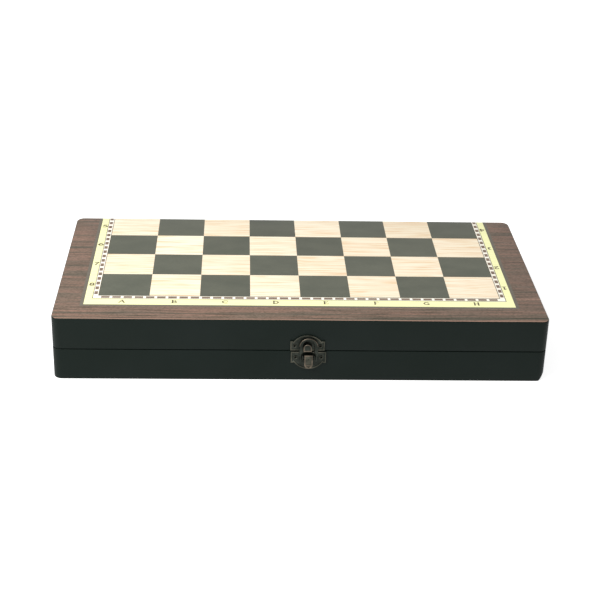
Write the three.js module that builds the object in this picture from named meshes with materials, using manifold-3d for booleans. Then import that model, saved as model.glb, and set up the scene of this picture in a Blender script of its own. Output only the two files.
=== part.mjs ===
// A folding wooden chess box, closed, with its thirty-two chessmen lying inside.
// Units are millimetres. +Z is up, +X is to the right and the front faces -Y.
// The origin is the middle of the underside.

import * as THREE from 'three';
import { mergeVertices } from 'three/addons/utils/BufferGeometryUtils.js';
import Module from 'manifold-3d';

const wasm = await Module();
wasm.setup();

// ---------------------------------------------------------------- driving dimensions

const SQUARE = 30;
const SIDE_BORDER = 25;
const WIDTH = 8 * SQUARE + 2 * SIDE_BORDER;
const DEPTH = 5 * SQUARE;
const HALF_HEIGHT = 19.7;
const HEIGHT = 2 * HALF_HEIGHT;
const CORNER_RADIUS = 5;
const PANEL = 3;
const WALL = 7;
const RIM_GAP = 0.5;
const FELT = 0.6;
const GAP = 0.3;

// How far a cutting tool stands out past the piece that it cuts, and a joined one reaches in.
const PAST = 1;
const BITE = 0.1;
const WELD = 1e-3;

const RIGHT = WIDTH / 2;
const BACK = DEPTH / 2;
const FRONT = -BACK;
const INNER_RIGHT = RIGHT - WALL;
const INNER_BACK = BACK - WALL;
const PARTING = HALF_HEIGHT;
const RIM = HALF_HEIGHT - RIM_GAP / 2;

// Butt hinges, let into the rims of the two back rails.
const HINGE = {
  middles: { left: -90, right: 90 },
  length: 22,
  leaf: 0.8,
  leafDepth: 5.8,
  barrel: 1.6,
  bore: 0.95,
  pin: 0.6,
  pinOverhang: 0.4,
  knuckles: 5,
  screwHole: 1.1,
  screwSpacing: 14,
  y: BACK + RIM_GAP / 2,
  z: PARTING,
};

const PILOT_DEPTH = 6;

// Toggle latch. u runs right, v up from the parting line and w out from the front face.
const LATCH = {
  x: 4.7,
  plate: 0.8,
  catchShift: -0.5,
  nailSpacing: 15,
  nailHole: 0.75,
  pivot: { v: -3.24, w: 2.35, pin: 0.5, bore: 0.8, overhang: 0.1 },
  hook: { v: -5.3, w: 2, peg: 0.4, bore: 0.7 },
};
const CATCH = { halfWidth: 10, foot: 0.4, shoulder: 6.4, shoulderHalf: 8.4, crown: 10.4, nailV: 3.4 };
const BASE = { halfWidth: 10.3, foot: 0.4, shoulder: 7.8, shoulderHalf: 8.6, crown: 11.8, nailV: 4.1 };
const TONGUE = { half: 2.4, bottom: 1, seat: 4.4, tip: 5.6, back: 2.7, front: 3.5 };
const LOOP = {
  back: 1.6,
  thickness: 0.8,
  half: 5.5,
  windowHalf: 3.3,
  spring: 3.8,
  top: 9,
  windowTop: 7.57,
  waist: -2.1,
  ankle: -3.3,
  lugClearance: 0.4,
  legWidth: 0.9,
  legEnd: 0.9,
  pegDepth: 1.2,
};
const LUG = { inner: 3.1, outer: 3.7, radius: 1.3, stemHalf: 1.15 };
const LEVER = {
  half: 2.8,
  barrel: 1.25,
  endRadius: 2.2,
  bottom: -10.6,
  bladeFront: 3.3,
  bladeBack: 2.55,
  flareAt: -9,
  flare: 0.4,
};
const NAIL = { head: 1.1, headHeight: 0.6, shank: 0.45, shankLength: 5 };

// Chessmen. Heights and foot radii suit a 30 mm square.
const FOOT_HEIGHT = 3;
const COLLAR_HEIGHT = 1.4;
const ROOK_CROWN = 7;
const CUP_HEIGHT = 13;
const CROSS_HEIGHT = 6;
const CROSS = { arm: 2.4, bar: 0.9, thickness: 0.8 };
const CROWN_LIP = { queen: 4, king: 3 };
const KNIGHT = { half: 4, baseRadius: 6.4, baseHeight: 8.5 };
const MEN = {
  pawn: { height: 27, foot: 8, stem: [2.9, 14], collar: [4.9, 16], head: 4.6 },
  rook: { height: 33, foot: 8.75, stem: [4.6, 17], collar: [6.2, 21], head: 6.6 },
  knight: { height: 38, foot: 8.75 },
  bishop: { height: 42, foot: 8.75, stem: [3.2, 21], collar: [5.4, 25], head: 4.8 },
  queen: { height: 50, foot: 9.5, stem: [3.5, 26], collar: [6, 30], head: 6.2 },
  king: { height: 57, foot: 9.75, stem: [3.7, 28], collar: [6.3, 33], head: 6.5 },
};
const LATHE_SIDES = 10;
const LATHE_STEPS = 3;
const OFFICER_PITCH = 20;
const PAWN_PITCH = 17;
const WALL_CLEARANCE = 0.8;
const PAWN_INNER_REAR = OFFICER_PITCH * 4;

// ---------------------------------------------------------------- materials

const FINISHES = {
  paint: { color: 0x23282a, roughness: 0.45, metalness: 0 },
  board: { color: 0xb89c80, roughness: 0.5, metalness: 0 },
  felt: { color: 0x1f4a33, roughness: 1, metalness: 0 },
  brass: { color: 0xb08d4a, roughness: 0.35, metalness: 1 },
  bronze: { color: 0x5c5648, roughness: 0.45, metalness: 1 },
  white: { color: 0xe3cc9b, roughness: 0.4, metalness: 0 },
  black: { color: 0x2b211d, roughness: 0.4, metalness: 0 },
};

// ---------------------------------------------------------------- solids

// A closed geometry as a manifold solid, without the slivers that a lathe leaves on its axis.
function toSolid(geometry) {
  const bare = new THREE.BufferGeometry();
  bare.setAttribute('position', geometry.getAttribute('position'));
  bare.setIndex(geometry.index);
  const merged = mergeVertices(bare, WELD);
  const corners = merged.index.array;
  const triVerts = [];
  for (let i = 0; i < corners.length; i += 3) {
    const [a, b, c] = corners.slice(i, i + 3);
    if (a !== b && b !== c && c !== a) triVerts.push(a, b, c);
  }
  return new wasm.Manifold(new wasm.Mesh({
    numProp: 3,
    vertProperties: new Float32Array(merged.getAttribute('position').array),
    triVerts: new Uint32Array(triVerts),
  }));
}

function toGeometry(solid) {
  const mesh = solid.getMesh();
  const geometry = new THREE.BufferGeometry();
  geometry.setAttribute('position', new THREE.BufferAttribute(mesh.vertProperties, 3));
  geometry.setIndex(new THREE.BufferAttribute(mesh.triVerts, 1));
  return geometry;
}

function join(first, ...others) {
  return others.reduce((solid, other) => solid.add(toSolid(other)), toSolid(first));
}

function cut(solid, tools) {
  return tools.reduce((left, tool) => left.subtract(toSolid(tool)), solid);
}

// ---------------------------------------------------------------- basic shapes

function boxBetween(x0, x1, y0, y1, z0, z1) {
  const geometry = new THREE.BoxGeometry(x1 - x0, y1 - y0, z1 - z0);
  return geometry.translate((x0 + x1) / 2, (y0 + y1) / 2, (z0 + z1) / 2);
}

function rodAlongX(radius, x0, x1, y, z, sides = 12) {
  const geometry = new THREE.CylinderGeometry(radius, radius, x1 - x0, sides);
  return geometry.rotateZ(Math.PI / 2).translate((x0 + x1) / 2, y, z);
}

function rodAlongZ(radius, x, y, z0, z1, sides = 12) {
  const geometry = new THREE.CylinderGeometry(radius, radius, z1 - z0, sides);
  return geometry.rotateX(Math.PI / 2).translate(x, y, (z0 + z1) / 2);
}

function extrude(shape, z0, z1, curveSegments = 6) {
  const settings = { depth: z1 - z0, bevelEnabled: false, curveSegments };
  return new THREE.ExtrudeGeometry(shape, settings).translate(0, 0, z0);
}

// A rectangle about the Y axis whose corners at y1 are rounded, and those at y0 too if asked.
function roundedRectangle(halfWidth, y0, y1, radius, roundBoth) {
  const shape = new THREE.Shape();
  const corner = (x, y, from) => shape.absarc(x, y, radius, from, from + Math.PI / 2, false);
  if (roundBoth) {
    corner(-halfWidth + radius, y0 + radius, Math.PI);
    corner(halfWidth - radius, y0 + radius, -Math.PI / 2);
  } else {
    shape.moveTo(-halfWidth, y0);
    shape.lineTo(halfWidth, y0);
  }
  corner(halfWidth - radius, y1 - radius, 0);
  corner(-halfWidth + radius, y1 - radius, Math.PI / 2);
  shape.closePath();
  return shape;
}

// ---------------------------------------------------------------- the model

const chessBox = new THREE.Group();
chessBox.name = 'chess_box';

function addPiece(name, geometry, finish) {
  const mesh = new THREE.Mesh(geometry, new THREE.MeshStandardMaterial(FINISHES[finish]));
  mesh.name = name;
  chessBox.add(mesh);
  return mesh;
}

// The two halves mirror each other in the parting plane.
const HALVES = {
  lower: (height) => height,
  upper: (height) => HEIGHT - height,
};

function levels(half, from, to) {
  return [HALVES[half](from), HALVES[half](to)].sort((a, b) => a - b);
}

// ---------------------------------------------------------------- box halves

function nailHoles(half) {
  const plate = half === 'lower' ? BASE : CATCH;
  const middle = LATCH.x + (half === 'lower' ? 0 : LATCH.catchShift);
  const z = half === 'lower' ? PARTING - plate.nailV : PARTING + plate.nailV;
  return [-1, 1].map((side) => {
    const x = middle + side * LATCH.nailSpacing / 2;
    const depth = NAIL.shankLength + 2 * GAP;
    const hole = rodAlongZ(LATCH.nailHole, 0, 0, -depth, depth);
    return hole.rotateX(Math.PI / 2).translate(x, FRONT, z);
  });
}

// The two screws of a leaf stand midway between its front edge and the barrel.
function screwHoles(radius, middle, z0, z1) {
  const y = HINGE.y - (HINGE.leafDepth + HINGE.barrel) / 2;
  return [-1, 1].map((side) => rodAlongZ(radius, middle + side * HINGE.screwSpacing / 2, y, z0, z1));
}

function hingeRecesses(half) {
  const [z0, z1] = levels(half, RIM - HINGE.leaf, PARTING + HINGE.leaf);
  const [pilotLow, pilotHigh] = levels(half, RIM - PILOT_DEPTH, RIM);
  const halfLength = HINGE.length / 2 + GAP;
  const front = HINGE.y - HINGE.leafDepth - GAP;
  const tools = [];
  for (const middle of Object.values(HINGE.middles)) {
    tools.push(boxBetween(middle - halfLength, middle + halfLength, front, BACK + PAST, z0, z1));
    const reach = halfLength + HINGE.pinOverhang;
    const hollow = HINGE.barrel + GAP;
    tools.push(rodAlongX(hollow, middle - reach, middle + reach, HINGE.y, HINGE.z));
    tools.push(...screwHoles(HINGE.screwHole - GAP, middle, pilotLow, pilotHigh));
  }
  return tools;
}

for (const half of Object.keys(HALVES)) {
  const [panelLow, panelHigh] = levels(half, 0, PANEL);
  const panelOutline = roundedRectangle(RIGHT, FRONT, BACK, CORNER_RADIUS, true);
  addPiece(`${half}_board_panel`, extrude(panelOutline, panelLow, panelHigh), 'board');

  const [railLow, railHigh] = levels(half, PANEL, RIM);
  const backOutline = roundedRectangle(RIGHT, INNER_BACK, BACK, CORNER_RADIUS, false);
  const backRail = extrude(backOutline, railLow, railHigh);
  const frontRail = backRail.clone().rotateZ(Math.PI);
  addPiece(`${half}_front_rail`, toGeometry(cut(toSolid(frontRail), nailHoles(half))), 'paint');
  addPiece(`${half}_back_rail`, toGeometry(cut(toSolid(backRail), hingeRecesses(half))), 'paint');

  const side = boxBetween(INNER_RIGHT, RIGHT, -INNER_BACK, INNER_BACK, railLow, railHigh);
  addPiece(`${half}_right_rail`, side, 'paint');
  addPiece(`${half}_left_rail`, side.clone().rotateZ(Math.PI), 'paint');

  const [feltLow, feltHigh] = levels(half, PANEL, PANEL + FELT);
  const feltRight = INNER_RIGHT - GAP;
  const feltBack = INNER_BACK - GAP;
  const felt = boxBetween(-feltRight, feltRight, -feltBack, feltBack, feltLow, feltHigh);
  addPiece(`${half}_felt_lining`, felt, 'felt');
}

// ---------------------------------------------------------------- hinges

// Knuckle number index of the barrel, as a span along X.
function knuckleSpan(index, middle) {
  const pitch = (HINGE.length + GAP) / HINGE.knuckles;
  const start = middle - HINGE.length / 2 + index * pitch;
  return [start, start + pitch - GAP];
}

// A leaf has every other knuckle and makes room for those of its partner.
function hingeLeaf(half, middle) {
  const first = half === 'lower' ? 0 : 1;
  const [z0, z1] = levels(half, RIM - HINGE.leaf, RIM);
  const left = middle - HINGE.length / 2;
  const right = middle + HINGE.length / 2;
  const knuckles = [];
  const clearances = [];
  for (let index = 0; index < HINGE.knuckles; index += 1) {
    const [start, end] = knuckleSpan(index, middle);
    if (index % 2 === first) {
      knuckles.push(rodAlongX(HINGE.barrel, start, end, HINGE.y, HINGE.z));
    } else {
      const edge = HINGE.y - HINGE.barrel - GAP;
      clearances.push(boxBetween(start - GAP, end + GAP, edge, BACK, z0 - PAST, z1 + PAST));
    }
  }
  const plateFront = HINGE.y - HINGE.leafDepth;
  const plateBack = HINGE.y - HINGE.bore + BITE;
  const plate = toSolid(boxBetween(left, right, plateFront, plateBack, z0, z1));
  const leaf = cut(plate, clearances).add(join(...knuckles));
  return toGeometry(cut(leaf, [
    rodAlongX(HINGE.bore, left - PAST, right + PAST, HINGE.y, HINGE.z),
    ...screwHoles(HINGE.screwHole, middle, z0 - PAST, z1 + PAST),
  ]));
}

for (const [side, middle] of Object.entries(HINGE.middles)) {
  for (const half of Object.keys(HALVES)) {
    addPiece(`${side}_hinge_${half}_leaf`, hingeLeaf(half, middle), 'brass');
  }
  const reach = HINGE.length / 2 + HINGE.pinOverhang;
  const pin = rodAlongX(HINGE.pin, middle - reach, middle + reach, HINGE.y, HINGE.z);
  addPiece(`${side}_hinge_pin`, pin, 'brass');
}

// ---------------------------------------------------------------- latch

// From the latch's own u, v, w to the box.
function onFront(geometry) {
  return geometry.rotateX(Math.PI / 2).translate(LATCH.x, FRONT, PARTING);
}

// An upright plate with straight sides and an arched top.
function archedPlate({ halfWidth, foot, shoulder, shoulderHalf, crown }) {
  const rise = crown - shoulder;
  const radius = (shoulderHalf ** 2 + rise ** 2) / (2 * rise);
  const start = Math.asin((radius - rise) / radius);
  const shape = new THREE.Shape();
  shape.moveTo(-halfWidth, foot);
  shape.lineTo(halfWidth, foot);
  shape.lineTo(halfWidth, shoulder);
  shape.absarc(0, crown - radius, radius, start, Math.PI - start, false);
  shape.lineTo(-halfWidth, shoulder);
  shape.closePath();
  return extrude(shape, 0, LATCH.plate, 12);
}

function plateHoles(u, v) {
  return [-1, 1].map((side) => (
    rodAlongZ(LATCH.nailHole, u + side * LATCH.nailSpacing / 2, v, -PAST, LATCH.plate + PAST)
  ));
}

// The tongue is a block with an upturned, round-topped lip that catches the loop.
function catchPlate() {
  const { half, bottom, seat, tip, back, front } = TONGUE;
  const shift = LATCH.catchShift;
  const block = boxBetween(shift - half, shift + half, bottom, seat, 0, back + BITE);
  const lip = new THREE.Shape();
  lip.moveTo(shift - half, bottom);
  lip.lineTo(shift + half, bottom);
  lip.absarc(shift, tip - half, half, 0, Math.PI, false);
  lip.closePath();
  const plate = archedPlate(CATCH).translate(shift, 0, 0);
  const solid = join(plate, block, extrude(lip, back, front, 10));
  return toGeometry(cut(solid, plateHoles(shift, CATCH.nailV)));
}

// The lower plate stands upside down and carries two lugs for the lever's pivot pin.
function basePlate() {
  const { v, w, bore } = LATCH.pivot;
  const lugs = [];
  for (const [u0, u1] of [[-LUG.outer, -LUG.inner], [LUG.inner, LUG.outer]]) {
    lugs.push(boxBetween(u0, u1, v - LUG.stemHalf, v + LUG.stemHalf, LATCH.plate / 2, w));
    lugs.push(rodAlongX(LUG.radius, u0, u1, v, w));
  }
  const plate = archedPlate(BASE).rotateZ(Math.PI);
  return toGeometry(cut(join(plate, ...lugs), [
    ...plateHoles(0, -BASE.nailV),
    rodAlongX(bore, -LUG.outer - PAST, LUG.outer + PAST, v, w),
  ]));
}

// A sheet arch, open at the bottom. Each leg ends in a peg that enters the lever's side.
function latchLoop() {
  const { half, windowHalf, spring, top, windowTop, back, thickness, waist, ankle } = LOOP;
  const { v, w, peg } = LATCH.hook;
  const legInner = LUG.outer + LOOP.lugClearance;
  const legOuter = legInner + LOOP.legWidth;
  const end = v - LOOP.legEnd;
  const shape = new THREE.Shape();
  shape.moveTo(legInner, end);
  shape.lineTo(legOuter, end);
  shape.lineTo(legOuter, ankle);
  shape.lineTo(half, waist);
  shape.lineTo(half, spring);
  shape.absellipse(0, spring, half, top - spring, 0, Math.PI, false);
  shape.lineTo(-half, waist);
  shape.lineTo(-legOuter, ankle);
  shape.lineTo(-legOuter, end);
  shape.lineTo(-legInner, end);
  shape.lineTo(-legInner, waist + legInner - windowHalf);
  shape.lineTo(-windowHalf, waist + 2 * (legInner - windowHalf));
  shape.lineTo(-windowHalf, spring);
  shape.absellipse(0, spring, windowHalf, windowTop - spring, Math.PI, 0, true);
  shape.lineTo(windowHalf, waist + 2 * (legInner - windowHalf));
  shape.lineTo(legInner, waist + legInner - windowHalf);
  shape.closePath();
  const sheet = extrude(shape, back, back + thickness, 12);
  const pegInner = LEVER.half - LOOP.pegDepth;
  const pegOuter = legInner + LOOP.legWidth / 2;
  return toGeometry(join(
    sheet,
    rodAlongX(peg, -pegOuter, -pegInner, v, w),
    rodAlongX(peg, pegInner, pegOuter, v, w),
  ));
}

// A thick knuckle at the top, a thin blade below and a round end that flares out for a finger.
function latchLever() {
  const { half, barrel, endRadius, bottom, bladeFront, bladeBack, flareAt, flare } = LEVER;
  const { pivot, hook } = LATCH;
  const profile = new THREE.Shape();
  profile.moveTo(pivot.w - barrel, pivot.v);
  profile.lineTo(pivot.w - barrel, hook.v);
  profile.lineTo(pivot.w, hook.v - 1);
  profile.lineTo(bladeBack, flareAt);
  profile.lineTo(bladeBack + flare, bottom);
  profile.lineTo(bladeFront + flare, bottom);
  profile.lineTo(bladeFront, flareAt);
  profile.lineTo(pivot.w + barrel, pivot.v);
  profile.closePath();
  const blade = extrude(profile, -half, half).rotateY(-Math.PI / 2);
  const knuckle = rodAlongX(barrel, -half, half, pivot.v, pivot.w);
  const outline = roundedRectangle(half, 0, -bottom, endRadius, false);
  const face = extrude(outline, 0, pivot.w + 2 * barrel).rotateZ(Math.PI);
  const lever = join(blade, knuckle).intersect(toSolid(face));
  return toGeometry(cut(lever, [
    rodAlongX(pivot.bore, -half - PAST, half + PAST, pivot.v, pivot.w),
    rodAlongX(hook.bore, -half - PAST, half + PAST, hook.v, hook.w),
  ]));
}

function nail(u, v) {
  const { head, headHeight, shank, shankLength } = NAIL;
  const outline = new THREE.Path();
  outline.moveTo(0, -shankLength);
  outline.lineTo(shank, -shankLength);
  outline.lineTo(shank, 0);
  outline.lineTo(head, 0);
  outline.absellipse(0, 0, head, headHeight, 0, Math.PI / 2, false);
  const geometry = new THREE.LatheGeometry(outline.getPoints(LATHE_STEPS), LATHE_SIDES);
  return geometry.rotateX(Math.PI / 2).translate(u, v, LATCH.plate);
}

addPiece('latch_catch_plate', onFront(catchPlate()), 'bronze');
addPiece('latch_base_plate', onFront(basePlate()), 'bronze');
addPiece('latch_loop', onFront(latchLoop()), 'bronze');
addPiece('latch_lever', onFront(latchLever()), 'bronze');

const pivotReach = LUG.outer + LATCH.pivot.overhang;
const pivotPin = rodAlongX(LATCH.pivot.pin, -pivotReach, pivotReach, LATCH.pivot.v, LATCH.pivot.w);
addPiece('latch_pivot_pin', onFront(pivotPin), 'bronze');

for (const [side, sign] of [['left', -1], ['right', 1]]) {
  const u = sign * LATCH.nailSpacing / 2;
  addPiece(`latch_catch_nail_${side}`, onFront(nail(LATCH.catchShift + u, CATCH.nailV)), 'bronze');
  addPiece(`latch_base_nail_${side}`, onFront(nail(u, -BASE.nailV)), 'bronze');
}

// ---------------------------------------------------------------- chessmen

// Every outline runs from the middle of the foot to the top, with the man's axis along Y.
// stem is the narrowest radius and its height; collar is the ring's radius and its height.
function turnedOutline({ foot, stem, collar }) {
  const [stemRadius, stemHeight] = stem;
  const [collarRadius, collarHeight] = collar;
  const outline = new THREE.Path();
  outline.moveTo(0, 0);
  outline.lineTo(foot, 0);
  outline.lineTo(foot, FOOT_HEIGHT);
  outline.quadraticCurveTo(stemRadius, 2 * FOOT_HEIGHT, stemRadius, stemHeight);
  outline.lineTo(collarRadius, collarHeight);
  outline.lineTo(collarRadius, collarHeight + COLLAR_HEIGHT);
  return outline;
}

const HEADS = {
  pawn: (outline, { height, head }) => {
    outline.absarc(0, height - head, head, -Math.PI / 4, Math.PI / 2, false);
  },
  rook: (outline, { height, stem, head }) => {
    outline.lineTo(stem[0], height - ROOK_CROWN - 1);
    outline.lineTo(head, height - ROOK_CROWN);
    outline.lineTo(head, height);
    outline.lineTo(0, height);
  },
  bishop: (outline, { height, head }) => {
    const rise = 1.5 * head;
    outline.absellipse(0, height - rise, head, rise, -Math.PI / 4, Math.PI / 2, false);
  },
  queen: (outline, { height, stem, head }) => {
    outline.quadraticCurveTo(stem[0], height - CUP_HEIGHT, head, height - CROWN_LIP.queen);
    outline.quadraticCurveTo(head / 2, height, 0, height);
  },
  king: (outline, { height, stem, head }) => {
    const top = height - CROSS_HEIGHT;
    outline.quadraticCurveTo(stem[0], top - CUP_HEIGHT, head, top - CROWN_LIP.king);
    outline.quadraticCurveTo(head / 2, top, 0, top);
  },
};

// A cross that stands in the king's crown.
function kingsCross(height) {
  const { arm, bar, thickness } = CROSS;
  const foot = height - CROSS_HEIGHT - PAST;
  const armHeight = height - CROSS_HEIGHT / 2;
  return [
    boxBetween(-bar, bar, foot, height, -thickness, thickness),
    boxBetween(-arm, arm, armHeight - bar, armHeight + bar, -thickness, thickness),
  ];
}

// A horse's head seen from its side, facing +X, on a round foot.
function knightHead() {
  const outline = new THREE.Shape();
  outline.moveTo(-5.2, 7.5);
  outline.lineTo(4.8, 7.5);
  outline.quadraticCurveTo(5.4, 13, 3, 19);
  outline.lineTo(6.4, 20.2);
  outline.lineTo(8, 23.6);
  outline.lineTo(4.6, 31);
  outline.lineTo(2, 38);
  outline.lineTo(-1.4, 35);
  outline.quadraticCurveTo(-7.6, 27, -5.2, 7.5);
  return extrude(outline, -KNIGHT.half, KNIGHT.half, LATHE_STEPS);
}

function knight({ foot }) {
  const outline = new THREE.Path();
  outline.moveTo(0, 0);
  outline.lineTo(foot, 0);
  outline.lineTo(foot, FOOT_HEIGHT);
  outline.quadraticCurveTo(KNIGHT.baseRadius, FOOT_HEIGHT + 1, KNIGHT.baseRadius, KNIGHT.baseHeight);
  outline.lineTo(0, KNIGHT.baseHeight);
  const round = new THREE.LatheGeometry(outline.getPoints(LATHE_STEPS), LATHE_SIDES);
  return toGeometry(join(round, knightHead()));
}

// The man's shape and the angle at which it leans once it lies on its foot's rim and its head.
function chessman(kind) {
  const man = MEN[kind];
  if (kind === 'knight') {
    const lean = Math.atan((man.foot - KNIGHT.half) / (man.height - FOOT_HEIGHT));
    return { geometry: knight(man), lean };
  }
  const outline = turnedOutline(man);
  HEADS[kind](outline, man);
  const points = outline.getPoints(LATHE_STEPS);
  const turned = new THREE.LatheGeometry(points, LATHE_SIDES);
  const parts = kind === 'king' ? [turned, ...kingsCross(man.height)] : [turned];
  const slopes = points.filter((point) => point.y > FOOT_HEIGHT)
    .map((point) => (man.foot - point.x) / (point.y - FOOT_HEIGHT));
  return { geometry: toGeometry(join(...parts)), lean: Math.atan(Math.min(...slopes)) };
}

const SHAPES = Object.fromEntries(Object.keys(MEN).map((kind) => [kind, chessman(kind)]));
const TRAY_FLOOR = PANEL + FELT + GAP;

// Lays a man on the felt. heading turns its head from +Y, and (x, y) is the middle of its rear.
function layDown(name, kind, finish, heading, x, y) {
  const { geometry, lean } = SHAPES[kind];
  const mesh = addPiece(name, geometry, finish);
  mesh.rotation.set(-lean, 0, heading, 'ZXY');
  const box = new THREE.Box3().setFromObject(mesh, true);
  const size = box.getSize(new THREE.Vector3());
  const rear = box.getCenter(new THREE.Vector3());
  const ahead = new THREE.Vector3(-Math.sin(heading), Math.cos(heading), 0);
  rear.addScaledVector(ahead, -(Math.abs(ahead.x) * size.x + Math.abs(ahead.y) * size.y) / 2);
  mesh.position.set(x - rear.x, y - rear.y, TRAY_FLOOR - box.min.z);
}

// The officers lie in two rows, heads together. The pawns lie in a block at each end.
const BACK_ROW = [
  ['rook_1', 'rook'],
  ['knight_1', 'knight'],
  ['bishop_1', 'bishop'],
  ['queen', 'queen'],
  ['king', 'king'],
  ['bishop_2', 'bishop'],
  ['knight_2', 'knight'],
  ['rook_2', 'rook'],
];
const officerRear = INNER_BACK - WALL_CLEARANCE;
const pawnRears = [INNER_RIGHT - WALL_CLEARANCE, PAWN_INNER_REAR];

for (const [colour, side] of [['white', -1], ['black', 1]]) {
  BACK_ROW.forEach(([name, kind], index) => {
    const x = (index - (BACK_ROW.length - 1) / 2) * OFFICER_PITCH;
    const heading = side < 0 ? 0 : Math.PI;
    layDown(`${colour}_${name}`, kind, colour, heading, x, side * officerRear);
  });
  for (let index = 0; index < 8; index += 1) {
    const outer = index < 4;
    const y = ((index % 4) - 1.5) * PAWN_PITCH;
    const x = side * (outer ? pawnRears[0] : pawnRears[1]);
    const headsRight = (side < 0) === outer;
    const heading = headsRight ? -Math.PI / 2 : Math.PI / 2;
    layDown(`${colour}_pawn_${index + 1}`, 'pawn', colour, heading, x, y);
  }
}

export default chessBox;
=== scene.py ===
import math

import bmesh
import bpy
from mathutils import Matrix, Vector


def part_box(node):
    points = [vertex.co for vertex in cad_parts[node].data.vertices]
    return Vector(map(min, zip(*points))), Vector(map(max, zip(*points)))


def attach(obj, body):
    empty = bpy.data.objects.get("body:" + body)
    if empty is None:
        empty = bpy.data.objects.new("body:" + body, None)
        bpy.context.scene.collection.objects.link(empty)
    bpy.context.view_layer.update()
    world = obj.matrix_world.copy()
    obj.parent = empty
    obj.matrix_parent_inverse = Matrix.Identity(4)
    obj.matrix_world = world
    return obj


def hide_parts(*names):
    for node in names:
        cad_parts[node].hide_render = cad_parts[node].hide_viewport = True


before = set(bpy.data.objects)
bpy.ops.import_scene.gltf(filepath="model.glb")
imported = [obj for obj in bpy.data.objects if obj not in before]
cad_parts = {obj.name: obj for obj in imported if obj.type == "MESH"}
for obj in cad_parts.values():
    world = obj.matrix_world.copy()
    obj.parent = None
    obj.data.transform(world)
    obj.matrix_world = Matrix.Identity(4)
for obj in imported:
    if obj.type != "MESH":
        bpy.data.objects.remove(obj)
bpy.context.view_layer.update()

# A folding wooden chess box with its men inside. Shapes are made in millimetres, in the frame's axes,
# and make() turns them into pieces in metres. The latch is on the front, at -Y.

MM = 0.001


def box_mm(node):
    low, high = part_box(node)
    return low / MM, high / MM


# ---------------------------------------------------------------- sizes

PANEL_LOW, PANEL_HIGH = box_mm("upper_board_panel")
RIGHT, BACK, TOP = PANEL_HIGH
PANEL = TOP - PANEL_LOW.z
PARTING = TOP / 2
RIM = box_mm("lower_front_rail")[1].z
WALL = BACK + box_mm("lower_front_rail")[1].y
CORNER_RADIUS = 5
EDGE = 0.5
RIM_EDGE = 0.25

# The print. Its bands are counted outwards from the grid: line, strip, line, yellow, dark line, rosewood.
SQUARE = 30
GRID_RIGHT = 4 * SQUARE
GRID_FRONT = -43.5
SIDE_BANDS = (0.4, 3.25, 3.65, 7.95, 10.05)
FRONT_BANDS = (0.6, 4.1, 4.65, 12.35, 14.5)
# A strip's dashes: how far out of the grid they run, their length and pitch, and where the first cell starts.
SIDE_DASH = {"near": 0.85, "far": 2.95, "length": 4.2, "pitch": 6.667, "start": 0, "count": 18}
FRONT_DASH = {"near": 1.1, "far": 3.6, "length": 5.05, "pitch": 6.63, "start": 0.7, "count": 36}
LETTER_HEIGHT = 3.7
LETTER_WIDTH = 4.5
FIRST_LETTER_SHIFT = 0.9
DIGIT_SIZE = 1.12
TURNED_DIGITS_SHIFT = 0.7
INK = 0.04
FILE_LETTERS_OUT = 7.9
RANK_DIGITS_OUT = 5.5
# Two streaks in the front border, by their y.
DARK_STREAK = -67
LIGHT_STREAK = -73.8

# ---------------------------------------------------------------- shapes


def arc(start, end, bulge, steps):
    """Points after start to end. bulge is the tangent of a quarter of the arc's angle, above 0 to the left."""
    if not bulge:
        return [end]
    (x0, y0), (x1, y1) = start, end
    offset = (1 - bulge * bulge) / (4 * bulge)
    cx = (x0 + x1) / 2 - (y1 - y0) * offset
    cy = (y0 + y1) / 2 + (x1 - x0) * offset
    turn = 4 * math.atan(bulge) / steps
    points = []
    for step in range(1, steps):
        c, s = math.cos(turn * step), math.sin(turn * step)
        points.append((cx + (x0 - cx) * c - (y0 - cy) * s, cy + (x0 - cx) * s + (y0 - cy) * c))
    return points + [end]


def path(*corners, steps=8):
    """A line through corners (x, y), or (x, y, bulge) for an arc that ends there."""
    line = [corners[0][:2]]
    for x, y, *bulge in corners[1:]:
        line += arc(line[-1], (x, y), bulge[0] if bulge else 0, steps)
    return line


QUARTER = math.tan(math.pi / 8)


def circle(radius, sides=32):
    angles = [2 * math.pi * side / sides for side in range(sides)]
    return [(radius * math.cos(a), radius * math.sin(a)) for a in angles]


def rounded_rectangle(x0, x1, y0, y1, radii, steps=12):
    """Counter-clockwise, with the radii of the corners at x0 y0, x1 y0, x1 y1 and x0 y1."""
    a, b, c, d = radii
    line = path(
        (x0, y0 + a), (x0 + a, y0, QUARTER), (x1 - b, y0), (x1, y0 + b, QUARTER),
        (x1, y1 - c), (x1 - c, y1, QUARTER), (x0 + d, y1), (x0, y1 - d, QUARTER), steps=steps,
    )
    return [p for i, p in enumerate(line) if math.dist(p, line[i - 1]) > 1e-6]


def shrink(outline, inset):
    """A counter-clockwise outline moved inwards."""
    moved = []
    for i, (x, y) in enumerate(outline):
        (xa, ya), (xb, yb) = outline[i - 1], outline[(i + 1) % len(outline)]
        before = Vector((ya - y, x - xa)).normalized()
        after = Vector((y - yb, xb - x)).normalized()
        along = (before + after) * inset / (1 + before.dot(after))
        moved.append((x + along.x, y + along.y))
    return moved


def rounded(z0, z1, low=0.0, high=0.0, steps=3):
    """Rings (inset, height) of a slab from z0 to z1 whose lower and upper edges are rounded."""
    rings = []
    for step in range(steps + 1):
        a = math.pi / 2 * step / steps
        rings.append((low * (1 - math.sin(a)), z0 + low * (1 - math.cos(a))))
    for step in range(steps + 1):
        a = math.pi / 2 * step / steps
        rings.append((high * (1 - math.cos(a)), z1 - high * (1 - math.sin(a))))
    return [ring for i, ring in enumerate(rings) if i == 0 or ring != rings[i - 1]]


def from_faces(verts, faces):
    shape = bmesh.new()
    made = [shape.verts.new(v) for v in verts]
    for face in faces:
        shape.faces.new([made[i] for i in face])
    return shape


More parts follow.
